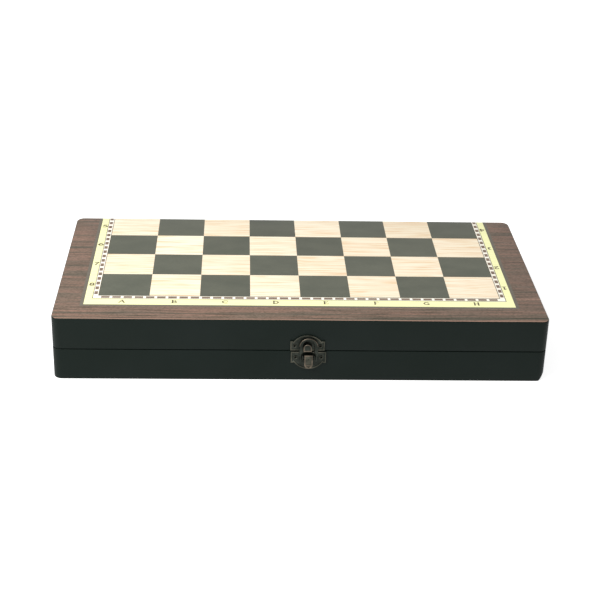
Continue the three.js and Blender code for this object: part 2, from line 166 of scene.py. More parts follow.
def prism(outline, rings, hold=lambda x, y: (1, 1)):
    """A solid whose section is the outline. hold says how much of an inset a corner follows along x and y."""
    count = len(outline)
    verts, faces = [], [tuple(reversed(range(count)))]
    for inset, z in rings:
        for (x, y), (nx, ny) in zip(outline, shrink(outline, inset)):
            kx, ky = hold(x, y)
            verts.append((x + (nx - x) * kx, y + (ny - y) * ky, z))
    for start in range(0, count * (len(rings) - 1), count):
        for i in range(count):
            j = (i + 1) % count
            faces.append((start + i, start + j, start + count + j, start + count + i))
    faces.append(tuple(range(len(verts) - count, len(verts))))
    return from_faces(verts, faces)


def lathe(profile, sides=40):
    """A profile of (radius, height) from the axis back to the axis, turned about Z."""
    middle = [p for p in profile if p[0] > 1e-6]
    verts = [(0, 0, profile[0][1])]
    for radius, height in middle:
        verts += [(x, y, height) for x, y in circle(radius, sides)]
    verts.append((0, 0, profile[-1][1]))
    faces = []
    for i in range(sides):
        j = (i + 1) % sides
        faces.append((0, 1 + j, 1 + i))
        for k in range(len(middle) - 1):
            a = 1 + k * sides
            faces.append((a + i, a + j, a + sides + j, a + sides + i))
        a = 1 + (len(middle) - 1) * sides
        faces.append((a + i, a + j, len(verts) - 1))
    return from_faces(verts, faces)


def rod(radius, z0, z1, dome=0.0, sides=32):
    return prism(circle(radius, sides), rounded(z0, z1, dome, dome))


def block(x0, x1, y0, y1, z0, z1):
    return prism([(x0, y0), (x1, y0), (x1, y1), (x0, y1)], [(0, z0), (0, z1)])


def at(x=0.0, y=0.0, z=0.0):
    return Matrix.Translation((x, y, z))


def turned(axis, degrees):
    return Matrix.Rotation(math.radians(degrees), 4, axis)


# Local z runs along X or Y; local x, y are then Y, Z or Z, X.
ALONG_X = Matrix(((0, 0, 1, 0), (1, 0, 0, 0), (0, 1, 0, 0), (0, 0, 0, 1)))
ALONG_Y = Matrix(((0, 1, 0, 0), (0, 0, 1, 0), (1, 0, 0, 0), (0, 0, 0, 1)))
# The lower half is the upper one turned over about the middle of the box.
TURNED_OVER = at(z=PARTING) @ turned("Y", 180) @ at(z=-PARTING)


def join(*shapes):
    """One shape of several, which may overlap."""
    whole = shapes[0]
    for shape in shapes[1:]:
        mesh = bpy.data.meshes.new("part")
        shape.to_mesh(mesh)
        shape.free()
        whole.from_mesh(mesh)
        bpy.data.meshes.remove(mesh)
    return whole


# ---------------------------------------------------------------- pieces


def make(name, shape, finishes, place=None):
    """A piece from a shape in millimetres."""
    shape.transform(at() if place is None else place)
    bmesh.ops.scale(shape, vec=(MM, MM, MM), verts=shape.verts)
    bmesh.ops.recalc_face_normals(shape, faces=shape.faces)
    mesh = bpy.data.meshes.new(name)
    shape.to_mesh(mesh)
    shape.free()
    for finish in finishes:
        mesh.materials.append(finish)
    piece = bpy.data.objects.new(name, mesh)
    bpy.context.scene.collection.objects.link(piece)
    return piece


def apply_modifiers(piece):
    made = piece.evaluated_get(bpy.context.evaluated_depsgraph_get())
    mesh = bpy.data.meshes.new_from_object(made)
    piece.modifiers.clear()
    piece.data = mesh
    return piece


def carve(piece, operation, tools):
    """Cuts piece with tools, or joins them to it. Each tool is a shape and its place."""
    cutters = []
    for shape, place in tools:
        cutter = make("tool", shape, [], place)
        modifier = piece.modifiers.new("carve", "BOOLEAN")
        modifier.operation = operation
        modifier.solver = "EXACT"
        modifier.object = cutter
        cutters.append(cutter)
    apply_modifiers(piece)
    for cutter in cutters:
        bpy.data.objects.remove(cutter)
    return piece


def ease(piece, width, segments=2, angle=40):
    """Rounds the edges sharper than angle."""
    modifier = piece.modifiers.new("ease", "BEVEL")
    modifier.width = width * MM
    modifier.segments = segments
    modifier.limit_method = "ANGLE"
    modifier.angle_limit = math.radians(angle)
    modifier.miter_outer = "MITER_ARC"
    return apply_modifiers(piece)


def finish_piece(piece, body, slot, *nodes, sharp=35):
    piece.data.polygons.foreach_set("use_smooth", [True] * len(piece.data.polygons))
    piece.data.set_sharp_from_angle(angle=math.radians(sharp))
    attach(piece, body)
    if nodes:
        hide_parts(*nodes)
    return piece


# ---------------------------------------------------------------- finishes


def srgb(red, green, blue):
    """A linear colour from an sRGB one in 0 to 255."""
    shares = [value / 255 for value in (red, green, blue)]
    return [v / 12.92 if v <= 0.04045 else ((v + 0.055) / 1.055) ** 2.4 for v in shares] + [1]


class Finish:
    """A material of nodes around one Principled shader. Its patterns are fixed to the piece."""

    def __init__(self, name, sockets):
        self.material = bpy.data.materials.new(name)
        self.material.use_nodes = True
        self.nodes = self.material.node_tree.nodes
        self.links = self.material.node_tree.links
        self.shader = self.nodes["Principled BSDF"]
        for socket, value in sockets.items():
            self.shader.inputs[socket].default_value = value
        self.place = self.nodes.new("ShaderNodeTexCoord").outputs["Object"]

    def node(self, kind, inputs, output=0, **settings):
        """An output of a new node. Each of its inputs is a socket to link or a value."""
        node = self.nodes.new(f"ShaderNode{kind}")
        for name, value in settings.items():
            setattr(node, name, value)
        for name, value in inputs.items():
            if isinstance(value, bpy.types.NodeSocket):
                self.links.new(value, node.inputs[name])
            else:
                node.inputs[name].default_value = value
        return node.outputs[output]

    def noise(self, scale, detail=3.0, place=None):
        """Noise from 0 to 1, with so many waves a metre along X, Y and Z."""
        scaled = self.node("Mapping", {"Vector": place or self.place, "Scale": scale})
        return self.node("TexNoise", {"Vector": scaled, "Scale": 1, "Detail": detail}, "Fac")

    def ramp(self, factor, *stops):
        node = self.nodes.new("ShaderNodeValToRGB")
        elements = node.color_ramp.elements
        while len(elements) < len(stops):
            elements.new(0.5)
        for element, (position, color) in zip(elements, stops):
            element.position = position
            element.color = color
        self.links.new(factor, node.inputs["Fac"])
        return node.outputs["Color"]

    def mix(self, factor, first, second, blend="MIX"):
        """Both colours mixed. factor is a socket or a number, and so is each colour a socket or a value."""
        return self.node("Mix", {0: factor, 6: first, 7: second}, 2, data_type="RGBA", blend_type=blend)

    def multiply(self, first, second):
        return self.mix(1, first, second, "MULTIPLY")

    def spread(self, factor, low, high):
        """A number that runs from low to high."""
        limits = {"From Min": 0.3, "From Max": 0.7, "To Min": low, "To Max": high}
        return self.node("MapRange", {"Value": factor, **limits}, "Result")

    def line(self, axis, place, half_width, wobble):
        """1 on a wavering line across an axis and 0 away from it, with lengths in millimetres."""
        along = self.node("SeparateXYZ", {"Vector": self.place}, axis)
        waver = self.noise((14, 14, 14), 4)
        away = self.node("Math", {0: waver, 1: wobble * MM, 2: along}, operation="MULTIPLY_ADD")
        limits = {1: (place + wobble / 2) * MM, 2: half_width * MM}
        return self.node("Math", {0: away, **limits}, operation="COMPARE")

    def color(self, socket):
        self.links.new(socket, self.shader.inputs["Base Color"])

    def roughness(self, socket):
        self.links.new(socket, self.shader.inputs["Roughness"])

    def bump(self, height, depth, strength=1.0):
        """depth is in millimetres."""
        bumps = {"Strength": strength, "Distance": depth * MM, "Height": height}
        self.links.new(self.node("Bump", bumps, "Normal"), self.shader.inputs["Normal"])


def grey(value):
    return (value, value, value, 1)


def black_paint():
    finish = Finish("black_paint", {"Specular IOR Level": 0.1})
    cloud = finish.noise((24, 24, 24))
    finish.color(finish.ramp(cloud, (0.3, srgb(13, 22, 18)), (0.7, srgb(17, 25, 22))))
    finish.roughness(finish.spread(finish.noise((60, 60, 60)), 0.47, 0.52))
    finish.bump(finish.noise((700, 700, 700), 2), 0.006, 0.5)
    return finish.material


VARNISH = {"Specular IOR Level": 0.3, "Coat Weight": 0.1, "Coat Roughness": 0.35}


def rosewood():
    finish = Finish("rosewood_print", VARNISH)
    broad = finish.noise((6, 170, 6), 4)
    fine = finish.noise((30, 760, 30), 5)
    pores = finish.noise((700, 1500, 700), 3)
    base = finish.ramp(
        broad, (0.30, srgb(86, 80, 68)), (0.40, srgb(112, 96, 83)), (0.48, srgb(135, 106, 92)),
        (0.55, srgb(112, 97, 84)), (0.64, srgb(134, 106, 92)), (0.74, srgb(152, 122, 107)),
    )
    streaks = finish.ramp(fine, (0.36, srgb(180, 184, 174)), (0.5, grey(1)), (0.72, srgb(255, 246, 240)))
    specks = finish.ramp(pores, (0.36, srgb(206, 212, 204)), (0.56, grey(1)))
    grain = finish.multiply(finish.multiply(base, streaks), specks)
    edged = finish.mix(finish.line("Y", LIGHT_STREAK, 0.5, 1.8), grain, srgb(146, 114, 99))
    finish.color(finish.mix(finish.line("Y", DARK_STREAK, 0.4, 1.4), edged, srgb(74, 72, 60)))
    finish.roughness(finish.spread(fine, 0.42, 0.55))
    finish.bump(fine, 0.015, 0.4)
    return finish.material


def per_square(finish):
    """The place, shifted by a different amount on each square, and a random grey for each square."""
    corner = (-GRID_RIGHT * MM, GRID_FRONT * MM, -SQUARE / 2 * MM)
    shifted = finish.node("VectorMath", {0: finish.place, 1: corner}, operation="SUBTRACT")
    square = finish.node("VectorMath", {0: shifted, 1: (SQUARE * MM,) * 3}, operation="SNAP")
    random = finish.node("TexWhiteNoise", {"Vector": square}, "Color")
    return finish.node("VectorMath", {0: finish.place, 1: random}), random.node.outputs["Value"]


def maple():
    finish = Finish("maple_print", VARNISH)
    place, random = per_square(finish)
    broad = finish.noise((12, 260, 12), 4, place)
    fine = finish.noise((40, 900, 40), 3, place)
    base = finish.ramp(
        broad, (0.32, srgb(242, 223, 196)), (0.46, srgb(246, 232, 207)), (0.58, srgb(248, 238, 214)),
        (0.70, srgb(243, 226, 200)),
    )
    streaks = finish.ramp(fine, (0.34, srgb(240, 218, 194)), (0.5, grey(1)))
    tone = finish.ramp(random, (0, srgb(247, 245, 241)), (1, grey(1)))
    finish.color(finish.multiply(finish.multiply(base, streaks), tone))
    finish.roughness(finish.spread(fine, 0.4, 0.52))
    finish.bump(fine, 0.01, 0.3)
    return finish.material


def charcoal():
    finish = Finish("charcoal_print", VARNISH)
    place, random = per_square(finish)
    cloud = finish.noise((50, 90, 50), 4, place)
    grain = finish.noise((500, 900, 500), 4, place)
    base = finish.ramp(cloud, (0.3, srgb(87, 90, 78)), (0.7, srgb(98, 100, 87)))
    fine = finish.ramp(grain, (0.3, srgb(232, 232, 228)), (0.7, grey(1)))
    tone = finish.ramp(random, (0, srgb(240, 240, 240)), (1, grey(1)))
    finish.color(finish.multiply(finish.multiply(base, fine), tone))
    finish.roughness(finish.spread(grain, 0.42, 0.55))
    finish.bump(grain, 0.01, 0.3)
    return finish.material


def flat_print(name, light, dark):
    """An even printed colour over faint grain."""
    finish = Finish(name, VARNISH)
    grain = finish.noise((70, 900, 70), 3)
    finish.color(finish.ramp(grain, (0.3, srgb(*dark)), (0.6, srgb(*light))))
    finish.roughness(finish.spread(finish.noise((120, 300, 120)), 0.42, 0.54))
    finish.bump(grain, 0.008, 0.3)
    return finish.material


def felt():
    sockets = {"Roughness": 1, "Specular IOR Level": 0.1, "Sheen Weight": 0.4, "Sheen Roughness": 0.6}
    finish = Finish("felt", sockets)
    fibre = finish.noise((1400, 1400, 1400), 4)
    cloud = finish.noise((60, 60, 60), 3)
    base = finish.ramp(fibre, (0.3, srgb(22, 58, 40)), (0.7, srgb(44, 96, 68)))
    shade = finish.ramp(cloud, (0.3, srgb(215, 215, 215)), (0.7, grey(1)))
    finish.color(finish.multiply(base, shade))
    finish.bump(fibre, 0.25, 0.8)
    return finish.material


def metal(name, clean, dull, roughness, scratch=0.01):
    """Aged metal: dull blotches over a cleaner colour."""
    finish = Finish(name, {"Metallic": 1.0})
    cloud = finish.noise((230, 230, 230), 5)
    fine = finish.noise((1500, 1500, 1500), 3)
    finish.color(finish.ramp(cloud, (0.38, srgb(*dull)), (0.62, srgb(*clean))))
    finish.roughness(finish.spread(cloud, roughness + 0.1, roughness - 0.06))
    finish.bump(fine, scratch, 0.4)
    return finish.material


def turned_wood(name, light, middle, dark):
    """Varnished wood with its grain along the piece's own Y."""
    finish = Finish(name, {"Coat Weight": 0.35, "Coat Roughness": 0.18, "Specular IOR Level": 0.4})
    broad = finish.noise((260, 14, 260), 3)
    fine = finish.noise((1300, 60, 1300), 4)
    base = finish.ramp(broad, (0.3, srgb(*dark)), (0.5, srgb(*middle)), (0.7, srgb(*light)))
    streaks = finish.ramp(fine, (0.34, srgb(214, 206, 196)), (0.56, grey(1)))
    finish.color(finish.multiply(base, streaks))
    finish.roughness(finish.spread(fine, 0.32, 0.46))
    finish.bump(fine, 0.012, 0.35)
    return finish.material


PAINT = black_paint()
ROSEWOOD = rosewood()
MAPLE = maple()
CHARCOAL = charcoal()
YELLOW = flat_print("yellow_print", (245, 244, 188), (239, 238, 176))
DARK_LINE = flat_print("dark_line_print", (106, 99, 88), (94, 88, 77))
STRIP = flat_print("strip_print", (250, 246, 232), (243, 237, 220))
THIN_LINE = flat_print("thin_line_print", (92, 82, 62), (72, 64, 48))
DASH = flat_print("dash_print", (132, 112, 95), (106, 88, 74))
INK_PRINT = flat_print("ink_print", (116, 104, 82), (96, 84, 64))
FELT = felt()
BRASS = metal("aged_brass", (176, 146, 84), (120, 92, 48), 0.32)
BRONZE = metal("dark_bronze", (52, 55, 50), (40, 43, 39), 0.45)
# Lighter bronze for the latch's raised rims, nail rings and lever panel: partly rubbed wear and partly a
# painted highlight where those faces catch the light.
RUBBED_AND_HIGHLIT = metal("rubbed_and_highlit_bronze", (76, 75, 66), (56, 57, 50), 0.42)
# The lightest bronze is a painted highlight on latch edges and faces that catch the light.
PAINTED_HIGHLIGHT = metal("painted_highlight_bronze", (104, 94, 82), (72, 67, 59), 0.4)
LIGHT_WOOD = turned_wood("boxwood", (233, 205, 150), (222, 188, 130), (205, 168, 110))
DARK_WOOD = turned_wood("dark_stained_wood", (72, 46, 34), (56, 35, 27), (40, 26, 21))

# ---------------------------------------------------------------- printed boards

PRINTS = [PAINT, THIN_LINE, STRIP, YELLOW, DARK_LINE, ROSEWOOD, MAPLE, CHARCOAL, DASH]
BAND_PRINTS = [THIN_LINE, STRIP, THIN_LINE, YELLOW, DARK_LINE, ROSEWOOD]
STRIP_BAND = BAND_PRINTS.index(STRIP)


def band(distance, limits):
    """The number of the band at a distance out of the grid, or -1 inside the grid."""
    return sum(distance > limit for limit in (0, *limits)) - 1


def on_dash(along, out, dash):
    """Whether a place on a strip is on one of its dashes. along starts at the grid's corner."""
    cell, phase = divmod(along - dash["start"], dash["pitch"])
    inside = 0 <= cell < dash["count"] and abs(phase - dash["pitch"] / 2) < dash["length"] / 2
    return inside and dash["near"] < out < dash["far"]


def print_at(x, y):
    side, front = abs(x) - GRID_RIGHT, GRID_FRONT - y
    side_band, front_band = band(side, SIDE_BANDS), band(front, FRONT_BANDS)
    if max(side_band, front_band) < 0:
        column, row = (x + GRID_RIGHT) // SQUARE, (y - GRID_FRONT) // SQUARE
        return MAPLE if (column + row) % 2 else CHARCOAL
    if side_band == STRIP_BAND and front < 0 and on_dash(y - GRID_FRONT, side, SIDE_DASH):
        return DASH
    if front_band == STRIP_BAND and side < 0 and on_dash(x + GRID_RIGHT, front, FRONT_DASH):
        return DASH
    return BAND_PRINTS[max(side_band, front_band)]


def score(shape, axis, places, inside=lambda middle: True):
    """Cuts the printed faces whose middle is inside along lines across the axis."""
    normal = Vector((axis == "x", axis == "y", 0))
    for place in places:
        faces = [f for f in shape.faces if f.normal.z > 0.8 and inside(f.calc_center_median())]
        parts = {part for f in faces for part in (*f.verts, *f.edges)}
        bmesh.ops.bisect_plane(
            shape, geom=faces + list(parts), plane_co=normal * place, plane_no=normal, dist=1e-4
        )


def dash_ends(dash):
    """Where the dashes of a strip start and end, from the grid's corner."""
    middles = [dash["start"] + dash["pitch"] * (k + 0.5) for k in range(dash["count"])]
    return [middle + side * dash["length"] / 2 for middle in middles for side in (-1, 1)]


def board_shape():
    corners = (CORNER_RADIUS,) * 4
    outline = rounded_rectangle(-RIGHT, RIGHT, -BACK, BACK, corners)
    shape = prism(outline, rounded(TOP - PANEL, TOP, high=EDGE))
    shape.normal_update()

    sides = [GRID_RIGHT + limit for limit in SIDE_BANDS]
    columns = [SQUARE * k for k in range(-4, 5)]
    fronts = [GRID_FRONT - limit for limit in FRONT_BANDS]
    rows = [GRID_FRONT + SQUARE * k for k in range(4)]
    score(shape, "x", columns + sides + [-side for side in sides])
    score(shape, "y", fronts + rows)

    def on_side_strip(middle):
        return band(abs(middle.x) - GRID_RIGHT, SIDE_BANDS) == STRIP_BAND and middle.y > GRID_FRONT

    def on_front_strip(middle):
        return band(GRID_FRONT - middle.y, FRONT_BANDS) == STRIP_BAND and abs(middle.x) < GRID_RIGHT

    sides = [GRID_RIGHT + SIDE_DASH[end] for end in ("near", "far")]
    score(shape, "x", sides + [-side for side in sides], on_side_strip)
    score(shape, "y", [GRID_FRONT + y for y in dash_ends(SIDE_DASH)], on_side_strip)
    score(shape, "y", [GRID_FRONT - FRONT_DASH[end] for end in ("near", "far")], on_front_strip)
    score(shape, "x", [x - GRID_RIGHT for x in dash_ends(FRONT_DASH)], on_front_strip)

    for face in shape.faces:
        if face.normal.z > 0.8:
            middle = face.calc_center_median()
            face.material_index = PRINTS.index(print_at(middle.x, middle.y))
    return shape


# ---------------------------------------------------------------- letters and digits

THIN, THICK = 0.11, 0.19
SERIF = 0.13
# Each glyph stands in a box 0.8 wide and 1 high: its strokes (weight, corners) and the places of its serifs.
GLYPHS = {
    "A": ([(THIN, (0.08, 0), (0.42, 1)), (THICK, (0.42, 1), (0.76, 0)), (THIN, (0.2, 0.34), (0.62, 0.34))],
          [(0.08, 0), (0.74, 0)]),
    "B": ([(THICK, (0.2, 0), (0.2, 1)), (THIN, (0.2, 0.96), (0.42, 0.96), (0.42, 0.53, -1), (0.2, 0.53)),
           (THICK, (0.2, 0.53), (0.46, 0.53), (0.46, 0.04, -1), (0.2, 0.04))], [(0.16, 0), (0.16, 1)]),
    "C": ([(THICK, (0.74, 0.82), (0.08, 0.5, 0.6), (0.74, 0.18, 0.6)), (THIN, (0.74, 0.66), (0.74, 0.94))],
          []),
    "D": ([(THICK, (0.18, 0), (0.18, 1)), (THICK, (0.18, 0.95), (0.3, 0.95), (0.3, 0.05, -1), (0.18, 0.05))],
          [(0.14, 0), (0.14, 1)]),
    "E": ([(THICK, (0.2, 0), (0.2, 1)), (THIN, (0.2, 0.95), (0.66, 0.95), (0.66, 0.78)),
           (THIN, (0.2, 0.52), (0.52, 0.52)), (THIN, (0.2, 0.05), (0.68, 0.05), (0.68, 0.24))],
          [(0.18, 0), (0.18, 1)]),
    "F": ([(THICK, (0.22, 0), (0.22, 1)), (THIN, (0.22, 0.95), (0.68, 0.95), (0.68, 0.76)),
           (THIN, (0.22, 0.52), (0.54, 0.52))], [(0.22, 0), (0.2, 1)]),
    "G": ([(THICK, (0.7, 0.84), (0.08, 0.5, 0.6), (0.66, 0.16, 0.55)), (THICK, (0.68, 0.08), (0.68, 0.46))],
          [(0.62, 0.45)]),
    "H": ([(THICK, (0.16, 0), (0.16, 1)), (THICK, (0.66, 0), (0.66, 1)), (THIN, (0.16, 0.5), (0.66, 0.5))],
          [(0.16, 0), (0.16, 1), (0.66, 0), (0.66, 1)]),
    "1": ([(THICK, (0.42, 0), (0.42, 1)), (THIN, (0.16, 0.74), (0.42, 0.96)),
           (THIN, (0.16, 0.05), (0.68, 0.05))], []),
    "2": ([(THICK, (0.16, 0.72), (0.6, 0.7, -0.9), (0.5, 0.45, -0.15), (0.16, 0.06)),
           (THIN, (0.16, 0.06), (0.66, 0.06), (0.66, 0.2))], []),
    "3": ([(THICK, (0.18, 0.82), (0.36, 0.53, -1.1)), (THICK, (0.34, 0.53), (0.16, 0.16, -1.2))], []),
    "4": ([(THICK, (0.54, 0), (0.54, 1)), (THIN, (0.54, 0.96), (0.1, 0.3)),
           (THICK, (0.08, 0.3), (0.74, 0.3))], [(0.54, 0)]),
    "5": ([(THICK, (0.66, 0.92), (0.22, 0.92)), (THIN, (0.24, 0.93), (0.2, 0.54)),
           (THICK, (0.2, 0.54), (0.42, 0.6, -0.2), (0.42, 0.06, -0.9), (0.14, 0.16, -0.2))], []),
    "6": ([(THICK, (0.62, 0.94), (0.14, 0.32, 0.35), (0.68, 0.32, 0.95), (0.14, 0.32, 0.85))], []),
    "7": ([(THICK, (0.12, 0.92), (0.7, 0.92)), (THICK, (0.64, 0.9), (0.3, 0, 0.12))], []),
    "8": ([(THICK, (0.4, 0.53), (0.4, 0.95, 1), (0.4, 0.53, 1)),
           (THICK, (0.4, 0.53), (0.4, 0.05, 1), (0.4, 0.53, 1))], []),
}
GLYPH_MIDDLE = (0.41, 0.5)


def stroke(weight, corners):
    """A line of the given weight as a thin solid."""
    line = path(*corners, steps=6)
    left, right = [], []
    for i, point in enumerate(line):
        ahead = Vector(line[min(i + 1, len(line) - 1)]) - Vector(line[max(i - 1, 0)])
        across = Vector((-ahead.y, ahead.x)).normalized() * weight / 2
        left.append(tuple(Vector(point) + across))
        right.append(tuple(Vector(point) - across))
    return prism(right + left[::-1], [(0, -INK), (0, INK)])


def glyph(character, x, y, degrees, size=1.0):
    """A character of the print, with its middle at x, y."""
    strokes, serifs = GLYPHS[character]
    shape = join(
        *[stroke(weight, corners) for weight, *corners in strokes],
        *[stroke(THIN, ((sx - SERIF, sy), (sx + SERIF, sy))) for sx, sy in serifs],
    )
    stretch = Matrix.Diagonal((LETTER_WIDTH * size, LETTER_HEIGHT * size, 1, 1))
    shape.transform(at(x, y, TOP) @ turned("Z", degrees) @ stretch @ at(-GLYPH_MIDDLE[0], -GLYPH_MIDDLE[1]))
    return shape


def lettering_shape():
    """Letters under the files, 8 to 5 beside the left ranks, and 1 to 4 turned round beside the right ones."""
    files = [SQUARE * (k + 0.5) - GRID_RIGHT for k in range(8)]
    files[0] -= FIRST_LETTER_SHIFT
    ranks = [GRID_FRONT + SQUARE * (k + 0.5) for k in range(4)]
    out = GRID_RIGHT + RANK_DIGITS_OUT
    return join(
        *[glyph(letter, x, GRID_FRONT - FILE_LETTERS_OUT, 0) for letter, x in zip("ABCDEFGH", files)],
        *[glyph(digit, -out, y, 0, DIGIT_SIZE) for digit, y in zip("8765", ranks)],
        *[glyph(digit, out, y - TURNED_DIGITS_SHIFT, 180, DIGIT_SIZE) for digit, y in zip("1234", ranks)],
    )


# ---------------------------------------------------------------- rails

HALVES = {"upper": ("lid", at()), "lower": ("lower_half", TURNED_OVER)}
HINGE_MIDDLES = {"left": -90, "right": 90}


def front_rail_shape():
    """The upper front rail. Only its outer rim edge is rounded, so that it stays tight against the sides."""
    outline = rounded_rectangle(-RIGHT, RIGHT, -BACK, WALL - BACK, (CORNER_RADIUS, CORNER_RADIUS, 0, 0))
    inner = WALL - BACK
    rings = rounded(TOP - RIM, TOP - PANEL, low=RIM_EDGE)
    return prism(outline, rings, lambda x, y: (1, 0 if y > inner - 1e-6 else 1))


def side_rail_shape():
    """The upper right rail, drawn across the wall and run from front to back."""
    low, high = TOP - RIM, TOP - PANEL
    section = path(
        (low, RIGHT - WALL), (high, RIGHT - WALL), (high, RIGHT), (low + RIM_EDGE, RIGHT),
        (low, RIGHT - RIM_EDGE, QUARTER), steps=3,
    )
    return prism(section, [(0, WALL - BACK), (0, BACK - WALL)])


# The lower right corner of the front is knocked off: how far in (along CHIP_TURN) at each height.
CHIP_TURN = -22
CHIP = ((1.9, -0.01), (1.05, 1.1), (0.4, 2.7), (-0.02, 5.0))


def chip_tools():
    middle = at(RIGHT - CORNER_RADIUS, CORNER_RADIUS - BACK) @ turned("Z", CHIP_TURN)
    tools = []
    for (near, low), (far, high) in zip(CHIP, CHIP[1:]):
        tilt = math.degrees(math.atan2(near - far, high - low))
        place = middle @ at(CORNER_RADIUS - near, 0, low) @ turned("Y", tilt)
        tools.append((block(0, 20, -30, 30, -30, 30), place))
    return tools


# ---------------------------------------------------------------- build: boards and rails

for half, (body, placed) in HALVES.items():
    board = make(f"{half}_printed_board", board_shape(), PRINTS, placed)
    if half == "lower":
        carve(board, "DIFFERENCE", chip_tools())
    finish_piece(board, body, "board_print", f"{half}_board_panel")
    lettering = make(f"{half}_printed_lettering", lettering_shape(), [INK_PRINT], placed)
    finish_piece(lettering, body, "board_print")

    # The turned-over half swaps its sides, so each rail is made where it ends up.
    front = make(f"{half}_front_wall", front_rail_shape(), [PAINT], placed)
    if half == "lower":
        carve(front, "DIFFERENCE", chip_tools())
    finish_piece(front, body, "black_paint", f"{half}_front_rail")
    back = make(f"{half}_back_wall", front_rail_shape(), [PAINT], placed @ turned("Z", 180))
    finish_piece(back, body, "black_paint", f"{half}_back_rail")
    over = -1 if half == "lower" else 1
    for side, sign in (("right", 1), ("left", -1)):
        spin = turned("Z", 0 if sign * over > 0 else 180)
        wall = make(f"{half}_{side}_wall", side_rail_shape(), [PAINT], placed @ spin @ ALONG_Y)
        finish_piece(wall, body, "black_paint", f"{half}_{side}_rail")

# ---------------------------------------------------------------- felt linings

FELT_LOW, FELT_HIGH = box_mm("lower_felt_lining")
FELT_CELLS = (110, 54)


def felt_shape():
    """A thin cloth slab with a faint waviness, for the lower half."""
    width, depth = FELT_HIGH.x - FELT_LOW.x, FELT_HIGH.y - FELT_LOW.y
    columns, rows = FELT_CELLS
    shape = bmesh.new()
    bmesh.ops.create_grid(shape, x_segments=columns, y_segments=rows, size=0.5)
    bmesh.ops.scale(shape, vec=(width, depth, 1), verts=shape.verts)
    top = bmesh.ops.extrude_face_region(shape, geom=shape.faces[:])["geom"]
    raised = {part for part in top if isinstance(part, bmesh.types.BMVert)}
    for vert in shape.verts:
        vert.co.z = FELT_LOW.z
        if vert in raised:
            wave = math.sin(vert.co.x * 0.31) * math.sin(vert.co.y * 0.43 + vert.co.x * 0.05)
            vert.co.z = FELT_HIGH.z - 0.06 + 0.05 * wave
    return shape


# ---------------------------------------------------------------- hinges

LEAF_LOW, LEAF_HIGH = box_mm("left_hinge_upper_leaf")
PIN_LOW, PIN_HIGH = box_mm("left_hinge_pin")
HINGE_LENGTH = LEAF_HIGH.x - LEAF_LOW.x
HINGE_AXIS = (PIN_LOW + PIN_HIGH) / 2
PIN_RADIUS = (PIN_HIGH.z - PIN_LOW.z) / 2
PIN_REACH = (PIN_HIGH.x - PIN_LOW.x) / 2
BARREL = 1.6
BORE = 0.95
LEAF = 0.8
KNUCKLES = 5
GAP = 0.3
SCREW_SPACING = 14
SCREW_Y = HINGE_AXIS.y - 3.7
RIM_Z = TOP - RIM


def along_hinge(shape, middle):
    return shape, at(middle, HINGE_AXIS.y, HINGE_AXIS.z) @ ALONG_X


def hinge_recesses(middle):
    """Tools that let a hinge into the upper back rail."""
    reach = HINGE_LENGTH / 2 + GAP
    front = LEAF_LOW.y - GAP
    tools = [(block(middle - reach, middle + reach, front, BACK + 2, PARTING - 1, RIM_Z + LEAF), at())]
    tools.append(along_hinge(rod(BARREL + GAP, -reach - 0.4, reach + 0.4), middle))
    for side in (-1, 1):
        tools.append((rod(0.8, RIM_Z, RIM_Z + 6), at(middle + side * SCREW_SPACING / 2, SCREW_Y)))
    return tools


def hinge_leaf(name, node, body, middle, first, placed):
    """A leaf of the upper half, with every other knuckle from number first on."""
    left, right = middle - HINGE_LENGTH / 2, middle + HINGE_LENGTH / 2
    outline = rounded_rectangle(left, right, LEAF_LOW.y, HINGE_AXIS.y - BORE, (1.4, 1.4, 0.4, 0.4), 6)
    plate = prism(outline, rounded(RIM_Z, RIM_Z + LEAF, 0.1, 0.1))
    pitch = (HINGE_LENGTH + GAP) / KNUCKLES
    knuckles, rooms = [], []
    for index in range(KNUCKLES):
        start = index * pitch - HINGE_LENGTH / 2
        end = start + pitch - GAP
        if index % 2 == first:
            knuckles.append(along_hinge(rod(BARREL, start, end, 0.12), middle))
        else:
            edge = HINGE_AXIS.y - BARREL - GAP
            x0, x1 = middle + start - GAP, middle + end + GAP
            rooms.append((block(x0, x1, edge, BACK, PARTING - 1, RIM_Z + 2), at()))
    holes = [along_hinge(rod(BORE, -HINGE_LENGTH, HINGE_LENGTH), middle)]
    for side in (-1, 1):
        cone = lathe([(0, -0.5), (2.3, -0.5), (1.85, 0), (1.1, 0.7), (1.1, 2), (0, 2)])
        holes.append((cone, at(middle + side * SCREW_SPACING / 2, SCREW_Y, RIM_Z)))
    leaf = make(name, plate, [BRASS])
    carve(leaf, "DIFFERENCE", rooms)
    carve(leaf, "UNION", knuckles)
    carve(leaf, "DIFFERENCE", holes)
    leaf.data.transform(in_metres(placed))
    return finish_piece(leaf, body, "hinge_brass", node)


def in_metres(place):
    """The same placing for a mesh in metres."""
    return Matrix.Translation(place.to_translation() * MM) @ place.to_3x3().to_4x4()


def screw_shape(degrees):
    """A slotted countersunk screw that points up."""
    profile = [
        (0, 0.12), (1.5, 0.06), (1.7, 0.12), (1.7, 0.2), (1.05, 0.75), (0.7, 0.95), (0.7, 4.6), (0, 5.8),
    ]
    return lathe(profile), (block(-0.2, 0.2, -2, 2, -1, 0.45), turned("Z", degrees))


# ---------------------------------------------------------------- latch

